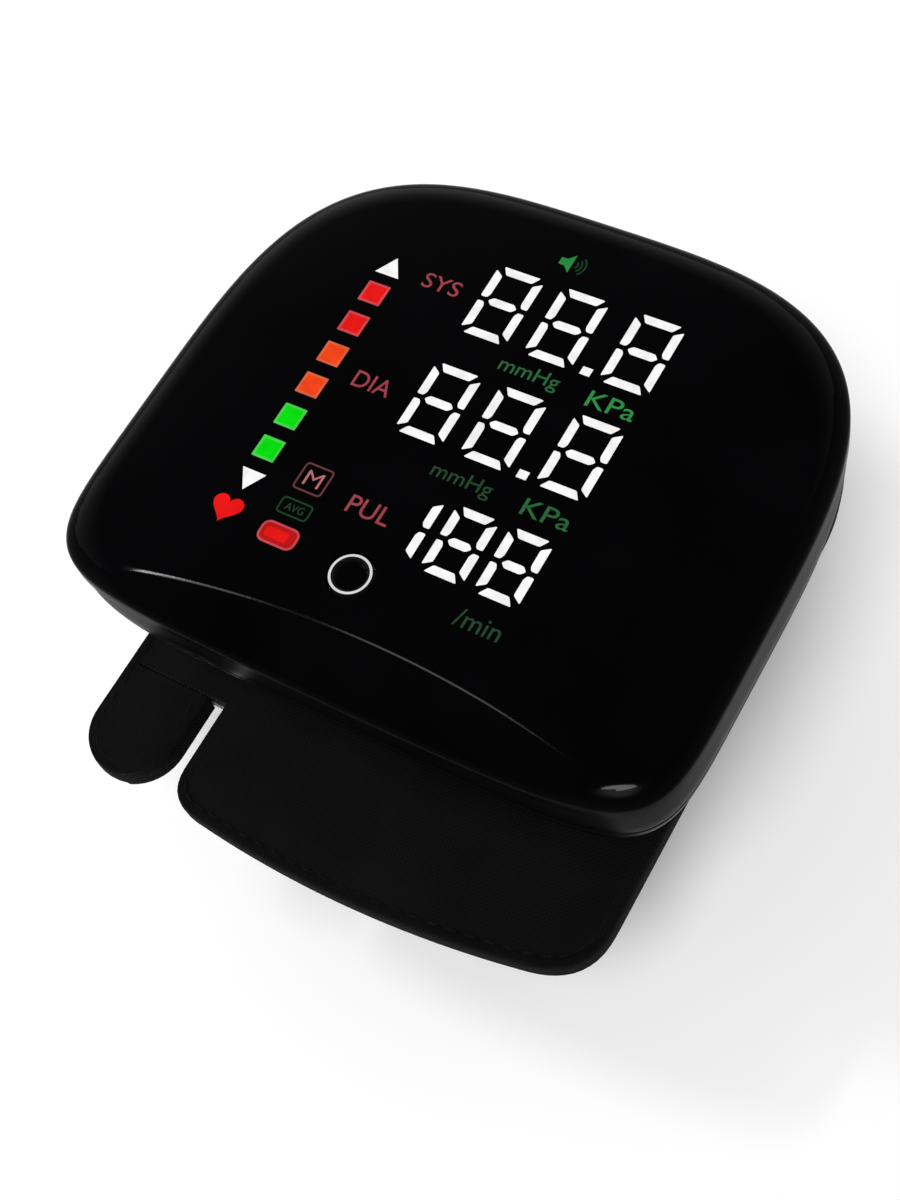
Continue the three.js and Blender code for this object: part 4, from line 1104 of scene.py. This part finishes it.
def inflate(piece, pinned, cap):
    """Blows the slab up a little as cloth held at its seams, and keeps the moved shape."""
    mesh = piece.data
    rest = np.empty(len(mesh.vertices) * 3)
    mesh.vertices.foreach_get("co", rest)
    mesh.vertices.foreach_set("co", rest * SIM_SCALE)
    group = piece.vertex_groups.new(name="seams")
    group.add(list(pinned), 1.0, "REPLACE")
    cloth = piece.modifiers.new("cloth", "CLOTH")
    settings = cloth.settings
    settings.quality = 5
    settings.mass = 0.2
    settings.tension_stiffness = settings.compression_stiffness = 12
    settings.shear_stiffness = 6
    settings.bending_stiffness = 0.8
    settings.vertex_group_mass = group.name
    settings.use_pressure = True
    settings.uniform_pressure_force = 5.0
    settings.effector_weights.gravity = 0.0
    scene = bpy.context.scene
    for number in range(1, SIM_FRAMES + 1):
        scene.frame_set(number)
    graph = bpy.context.evaluated_depsgraph_get()
    shaped = piece.evaluated_get(graph).to_mesh()
    moved = np.empty_like(rest)
    shaped.vertices.foreach_get("co", moved)
    piece.evaluated_get(graph).to_mesh_clear()
    piece.modifiers.clear()
    piece.vertex_groups.clear()
    scene.frame_set(1)
    shift = (moved / SIM_SCALE - rest).reshape(-1, 3)
    reach = np.linalg.norm(shift, axis=1, keepdims=True)
    limit = cap * MM
    shift *= np.where(reach > 0, limit * np.tanh(reach / limit) / np.maximum(reach, 1e-9), 0)
    mesh.vertices.foreach_set("co", rest + shift.ravel())
    mesh.update()


def even_path(path, step):
    """Points at even steps along a polyline of (s, x) places."""
    points = np.array(path, float)
    lengths = np.concatenate([[0], np.cumsum(np.linalg.norm(np.diff(points, axis=0), axis=1))])
    marks = np.linspace(0, lengths[-1], max(2, int(lengths[-1] / step) + 1))
    return np.stack([np.interp(marks, lengths, points[:, k]) for k in (0, 1)], axis=1)


def path_frames(path, place):
    """For each place on a path: its point, the way out of the cloth's edge, and its face normal."""
    frames = []
    step = 0.05
    for k, (s, x) in enumerate(path):
        a, b = path[max(k - 1, 0)], path[min(k + 1, len(path) - 1)]
        along = (b - a) / max(np.linalg.norm(b - a), 1e-9)
        out = (-along[1], along[0])
        point = place(s, x, 0.0)
        outward = place(s + out[0] * step, x + out[1] * step, 0.0) - point
        normal = place(s, x, step) - point
        outward /= np.linalg.norm(outward)
        normal /= np.linalg.norm(normal)
        frames.append((point, outward, normal))
    return frames


def binding(name, path, place, body, low, high):
    """A tape folded over the cloth's edge: a rounded bar swept along it."""
    path = even_path(path, 1.0)
    rings = []
    top, bottom = high + BINDING_PROUD, low - BINDING_PROUD
    middle, half = (top + bottom) / 2, (top - bottom) / 2
    sides = 20
    for point, outward, normal in path_frames(path, place):
        ring = []
        for k in range(sides):
            angle = 2 * math.pi * k / sides
            across, up = math.cos(angle), math.sin(angle)
            across = math.copysign(abs(across) ** 0.5, across)
            up = math.copysign(abs(up) ** 0.6, up)
            reach = (across - 1) / 2 * BINDING_WIDTH
            ring.append(point + outward * reach + normal * (middle + up * half))
        rings.append(np.array(ring))
    piece = build(name, *bars([rings]), "binding", body, "cuff_fabric", 60.0)
    around = [(level, k * 0.5) for level in range(len(rings)) for k in range(sides)]
    map_cloth(piece, around)
    return piece


def stitches(name, path, place, body, offset):
    """A row of short threads sunk in the cloth along its edge."""
    path = even_path(path, STITCH_STEP)
    threads = []
    for point, outward, normal in path_frames(path, place)[1:-1]:
        centre = point - outward * STITCH_INSET + normal * offset
        along = np.cross(outward, normal)
        rings = []
        for r in range(STITCH_RINGS):
            t = -1 + 2 * r / (STITCH_RINGS - 1)
            thick = STITCH_RADIUS * math.sqrt(max(0.1, 1 - t * t))
            ring = []
            for q in range(STITCH_SIDES):
                angle = 2 * math.pi * q / STITCH_SIDES
                side = outward * math.cos(angle) + normal * math.sin(angle)
                ring.append(centre + along * t * STITCH_LENGTH / 2 + side * thick)
            rings.append(ring)
        threads.append(rings)
    return build(name, *bars(threads), "thread", body, "cuff_fabric", 70.0)


def sleeve_edge():
    """The sleeve's edge in two runs: the left side, and the slit, front and right side."""
    end = BACK_RUN - GAP / 2
    root = SLIT_ROOT_Y - BACK_Y
    left = [(s, -CUFF_HALF_WIDTH) for s in np.linspace(root, 0, 12)]
    left += [(s, -CUFF_HALF_WIDTH) for s in np.linspace(0, end, 12)]
    front = [(root, SLIT_RIGHT)] + [(y - BACK_Y, x) for x, y in flap_front(0)]
    front += [(s, CUFF_HALF_WIDTH) for s in np.linspace(front[-1][0], 0, 12)[1:]]
    front += [(s, CUFF_HALF_WIDTH) for s in np.linspace(0, end, 12)[1:]]
    return left[::-1], front


def cloth_pair(word, grid, place):
    """The outer cloth and the inner padding of the sleeve or the band."""
    half = CUFF_THICKNESS / 2
    cover = panel(f"{word}_outer_cloth", grid, place, half - COVER, half, "cover", "cuff_fabric",
                  PUFF_CAP / 2)
    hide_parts(f"{word}_cover")
    lining = panel(f"{word}_inner_padding", grid, place, -half, LINING - half, "lining",
                   "cuff_lining", PUFF_CAP)
    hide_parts(f"{word}_lining")
    return cover, lining


def make_sleeve():
    half = CUFF_THICKNESS / 2
    for piece in cloth_pair("sleeve", sleeve_grid(CLOTH_MARGIN), sleeve_place):
        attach(piece, "root")
    for word, run in zip(("left", "front"), sleeve_edge()):
        binding(f"sleeve_binding_{word}", run, sleeve_place, "root", -half, half)
        stitches(f"sleeve_stitches_{word}", run, sleeve_place, "root", half + STITCH_STAND)
        stitches(f"lining_stitches_{word}", run, sleeve_place, "root", -half - STITCH_STAND)


def band_edge():
    bend = BACK_RUN + FOOT_RUN + FRONT_RUN
    half = BAND_HALF_WIDTH
    runs = list(np.linspace(GAP / 2, BACK_RUN, 14)) + list(np.linspace(BACK_RUN, bend, 30))[1:]
    right = [(s, half) for s in runs]
    corner = [half - FLAP_CORNER * (1 - k / 8) ** 2 for k in range(9)][::-1]
    tip = [(tip_end(x, 0), x) for x in corner]
    across = [(tip_end(0, 0), x) for x in np.linspace(corner[-1], -corner[-1], 8)[1:-1]]
    back_tip = [(tip_end(x, 0), -x) for x in corner[::-1]]
    return right + tip + across + back_tip + [(s, -half) for s in runs[::-1]]


def make_band():
    half = CUFF_THICKNESS / 2
    cloth = cloth_pair("band", band_grid(CLOTH_MARGIN), band_place)
    core = panel("band_core_sheet", band_grid(CORE_INWARD)[1:], band_place,
                 LINING - half + GAP, half - COVER - GAP, "inner", "inner_plastic")
    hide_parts("band_stiffener")
    edge = band_edge()
    sewn = [binding("band_binding", edge, band_place, None, -half, half),
            stitches("band_stitches", edge, band_place, None, half + STITCH_STAND / 2),
            stitches("band_inner_stitches", edge, band_place, None, -half - STITCH_STAND)]
    for piece in [*cloth, core, *sewn]:
        bend_at_hinge(piece)


def bend_at_hinge(piece):
    """Bakes the piece's placement into its mesh."""
    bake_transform(piece)


def fold_place(s, x, offset):
    """A point over the hinge line: s from it, on the sleeve before it and on the band past it."""
    return sleeve_place(BACK_RUN + s, x, offset) if s <= 0 else band_place(s, x, offset)


def make_back_fold():
    """The tape over the hinge line at the back."""
    low = CUFF_THICKNESS / 2 + FOLD_STAND
    rows = []
    for s in np.linspace(-FOLD_REACH, FOLD_REACH, 25):
        full = CUFF_HALF_WIDTH if s <= 0 else BAND_HALF_WIDTH
        rows.append([(s, full * (1 - 2 * k / 16)) for k in range(17)])
    tape = panel("back_fold_tape", rows, fold_place, low, low + FOLD_THICKNESS, "binding",
                 "cuff_fabric")
    bend_at_hinge(tape)


def tab_place(s, x, offset):
    """A point of the pull tab: s forwards from its root."""
    return np.array([x, SLIT_ROOT_Y - s, SLEEVE_MID + offset])


def tab_half(s):
    """Half the tab's width at s, round at its end."""
    radius = (TAB_WIDTH - TAB_SLIM) / 2
    past = s - (TAB_REACH - radius)
    return math.sqrt(max(0.0, radius**2 - past**2)) if past > 0 else radius


def make_tab():
    half = CUFF_THICKNESS / 2
    radius = (TAB_WIDTH - TAB_SLIM) / 2
    middle = radius - CUFF_HALF_WIDTH
    straight = TAB_REACH - radius
    steps = list(np.linspace(0.05, straight, 7))
    steps += [straight + (radius - 0.35) * math.sin(math.pi / 2 * k / 12) for k in range(1, 12)]
    rows = []
    for s in steps:
        reach = max(tab_half(s) - CLOTH_MARGIN, 0.4)
        rows.append([(s, middle + reach * math.sin(math.pi / 2 * (k - 7) / 7)) for k in range(15)])
    edge = [(s, middle - radius) for s in np.linspace(0.05, straight, 6)]
    for k in range(1, 24):
        angle = math.pi * k / 24
        edge.append((straight + radius * math.sin(angle), middle - radius * math.cos(angle)))
    edge += [(s, middle + radius) for s in np.linspace(straight, 0.05, 6)]
    cloth = panel("pull_tab_cloth", rows, tab_place, -half, half, "cover", "cuff_fabric",
                  PUFF_CAP / 2)
    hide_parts("pull_tab")
    pieces = [cloth, binding("pull_tab_binding", edge[::-1], tab_place, None, -half, half)]
    pieces.append(stitches("pull_tab_stitches", edge[::-1], tab_place, None, half + STITCH_STAND))
    for piece in pieces:
        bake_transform(piece)


def make_patches():
    """Loop patch under the flap and hook patch on the band's tip, each with an uneven pile."""
    rng = np.random.default_rng(7)
    columns, rows = 60, 20
    for name, node, body in (("loop_pile", "loop_patch", "root"),
                             ("hook_pile", "hook_patch", "cuff_band")):
        low, high = box_of(node)
        reach = high - low

        def pile_place(y, x, z):
            inward = min(x - low[0], high[0] - x, y - low[1], high[1] - y)
            side = 1 if z == high[2] else -1
            worn = rng.uniform(0, PILE_DEPTH) * side if inward > NEAR else 0
            return np.array([x, y, z - worn])

        grid = [[(low[1] + reach[1] * j / rows, low[0] + reach[0] * i / columns)
                 for i in range(columns + 1)] for j in range(rows + 1)]
        piece = panel(name, grid, pile_place, low[2], high[2], "pile", "touch_fastener")
        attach(piece, body)
        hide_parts(node)


def make_bladder():
    """The air bladder: two films welded at a flat rim, a little swollen between."""
    low, high = box_of("air_bladder")
    centre = (low + high) / 2
    reach = (high - low) / 2
    angle = np.arange(80) * 2 * np.pi / 80
    cos, sin = np.cos(angle), np.sin(angle)
    plan = (abs(cos) ** BLADDER_POWER + abs(sin) ** BLADDER_POWER) ** (-1 / BLADDER_POWER)
    rings = []
    steps = 24
    for level in range(-steps, steps + 1):
        t = abs(level) / steps
        shrink = max(1 - t**3, 0.02)
        height = reach[2] * (1 - (1 - t) ** 3) * (1 if level > 0 else -1)
        rings.append(np.stack([centre[0] + reach[0] * plan * cos * shrink,
                               centre[1] + reach[1] * plan * sin * shrink,
                               np.full_like(angle, centre[2] + height)], axis=1))
    piece = swept("air_bladder_film", rings, "rubber", "soft_rubber")
    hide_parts("air_bladder")


# --- carried-over parts, stage and camera ----------------------------------------------------


def dress_nodes():
    """Gives each CAD node that stays its material."""
    slots = {
        "inner": ("digit_reflector", "pump_head", "pressure_sensor", "bladder_nozzle",
                  "speaker", "sleeve_stiffener"),
        "guide": ("segment_diffuser",),
        "lens": ("start_button",),
        "shell": ("cuff_saddle",),
        "board": ("display_board", "charge_board"),
        "steel": ("tact_switch", "pump_motor", "pump_rotor", "valve_body", "valve_plunger",
                  "charge_socket", "case_screw_1", "case_screw_2", "case_screw_3",
                  "case_screw_4", "saddle_screw_1", "saddle_screw_2"),
        "cell": ("battery_cell",),
        "rubber": ("battery_pad", "air_hose"),
    }
    for look, names in slots.items():
        for name in names:
            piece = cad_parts[name]
            piece.data.materials.clear()
            piece.data.materials.append(looks[look])


def seen_backdrop(tree, shader_socket, other):
    """Mixes the backdrop over a shader for what the camera and reflections see."""
    path = tree.nodes.new("ShaderNodeLightPath")
    total = None
    for ray in ("Is Camera Ray", "Is Glossy Ray", "Is Transmission Ray"):
        if total is None:
            total = path.outputs[ray]
            continue
        most = tree.nodes.new("ShaderNodeMath")
        most.operation = "MAXIMUM"
        tree.links.new(total, most.inputs[0])
        tree.links.new(path.outputs[ray], most.inputs[1])
        total = most.outputs[0]
    mix = tree.nodes.new("ShaderNodeMixShader")
    tree.links.new(total, mix.inputs[0])
    tree.links.new(shader_socket, mix.inputs[1])
    tree.links.new(other, mix.inputs[2])
    return mix.outputs[0]


def make_stage():
    world = bpy.data.worlds.new("studio")
    bpy.context.scene.world = world
    world.use_nodes = True
    tree = world.node_tree
    tree.nodes.clear()
    soft = tree.nodes.new("ShaderNodeBackground")
    soft.inputs["Strength"].default_value = AMBIENT
    soft.inputs["Color"].default_value = (1, 1, 1, 1)
    seen = tree.nodes.new("ShaderNodeBackground")
    way = tree.nodes.new("ShaderNodeTexCoord")
    parts = tree.nodes.new("ShaderNodeSeparateXYZ")
    fade = tree.nodes.new("ShaderNodeValToRGB")
    first, last = fade.color_ramp.elements
    first.position, last.position = BACKDROP_EDGE
    first.color, last.color = (1, 1, 1, 1), (*BACKDROP_TOP, 1)
    tree.links.new(way.outputs["Generated"], parts.inputs[0])
    tree.links.new(parts.outputs["Z"], fade.inputs[0])
    tree.links.new(fade.outputs["Color"], seen.inputs["Color"])
    out = tree.nodes.new("ShaderNodeOutputWorld")
    result = seen_backdrop(tree, soft.outputs[0], seen.outputs[0])
    tree.links.new(result, out.inputs["Surface"])

    mesh = bpy.data.meshes.new("floor")
    corners = [Vector((x, y, 0)) * FLOOR_REACH for x, y in ((-1, -1), (1, -1), (1, 1), (-1, 1))]
    mesh.from_pydata(corners, [], [(0, 1, 2, 3)])
    floor = bpy.data.objects.new("floor", mesh)
    bpy.context.scene.collection.objects.link(floor)
    look = Look("pale_floor", (0.96, 0.96, 0.96), 0.9, Specular_IOR_Level=0.0)
    cloud = look.noise(look.coordinates(), 6.0, 2.0)
    look.link(look.ramp(cloud, (0.95, 0.95, 0.95), (0.97, 0.97, 0.97)), "Base Color")
    mesh.materials.append(look.material)


def add_strip(name, way, size, watts):
    """A soft strip light in a direction from the part."""
    lamp = bpy.data.lights.new(name, "AREA")
    lamp.shape = "RECTANGLE"
    lamp.size, lamp.size_y = size
    lamp.energy = watts
    holder = bpy.data.objects.new(name, lamp)
    back = Vector(way).normalized()
    side = Vector((0, 1, 0)).cross(back).normalized()
    turn = Matrix((side, back.cross(side), back)).transposed().to_4x4()
    place = Vector(STRIP_TARGET) + back * STRIP_DISTANCE
    holder.matrix_world = Matrix.Translation(place) @ turn
    bpy.context.scene.collection.objects.link(holder)


def make_lamps():
    """A wide soft key light far away, which lights the floor evenly, and the strips."""
    lamp = bpy.data.lights.new("key_lamp", "SUN")
    lamp.angle = KEY_SPREAD
    lamp.energy = KEY_STRENGTH
    holder = bpy.data.objects.new("key_lamp", lamp)
    holder.rotation_euler = Vector(KEY_WAY).to_track_quat("Z", "Y").to_euler()
    bpy.context.scene.collection.objects.link(holder)
    for strip in STRIPS:
        add_strip(*strip)


def make_camera():
    lens = bpy.data.cameras.new("camera")
    lens.lens = CAMERA_LENS
    lens.sensor_width = CAMERA_SENSOR
    lens.clip_start = 0.01
    lens.clip_end = 20.0
    camera = bpy.data.objects.new("camera", lens)
    place = (Vector(CAMERA_PLACE) + Vector((0, SHIFT, FACE_Z))) * MM
    right, down, forward = map(Vector, (CAMERA_RIGHT, CAMERA_DOWN, CAMERA_FORWARD))
    turn = Matrix((right, -down, -forward)).transposed().to_4x4()
    camera.matrix_world = Matrix.Translation(place) @ turn
    bpy.context.scene.collection.objects.link(camera)
    bpy.context.scene.camera = camera


bpy.context.scene.view_settings.view_transform = "Standard"
looks = make_looks()
make_camera()
make_stage()
make_lamps()
make_lens()
make_ring()
make_side_wall()
make_tray()
make_display()
make_sleeve()
make_band()
make_back_fold()
make_tab()
make_patches()
make_bladder()
dress_nodes()
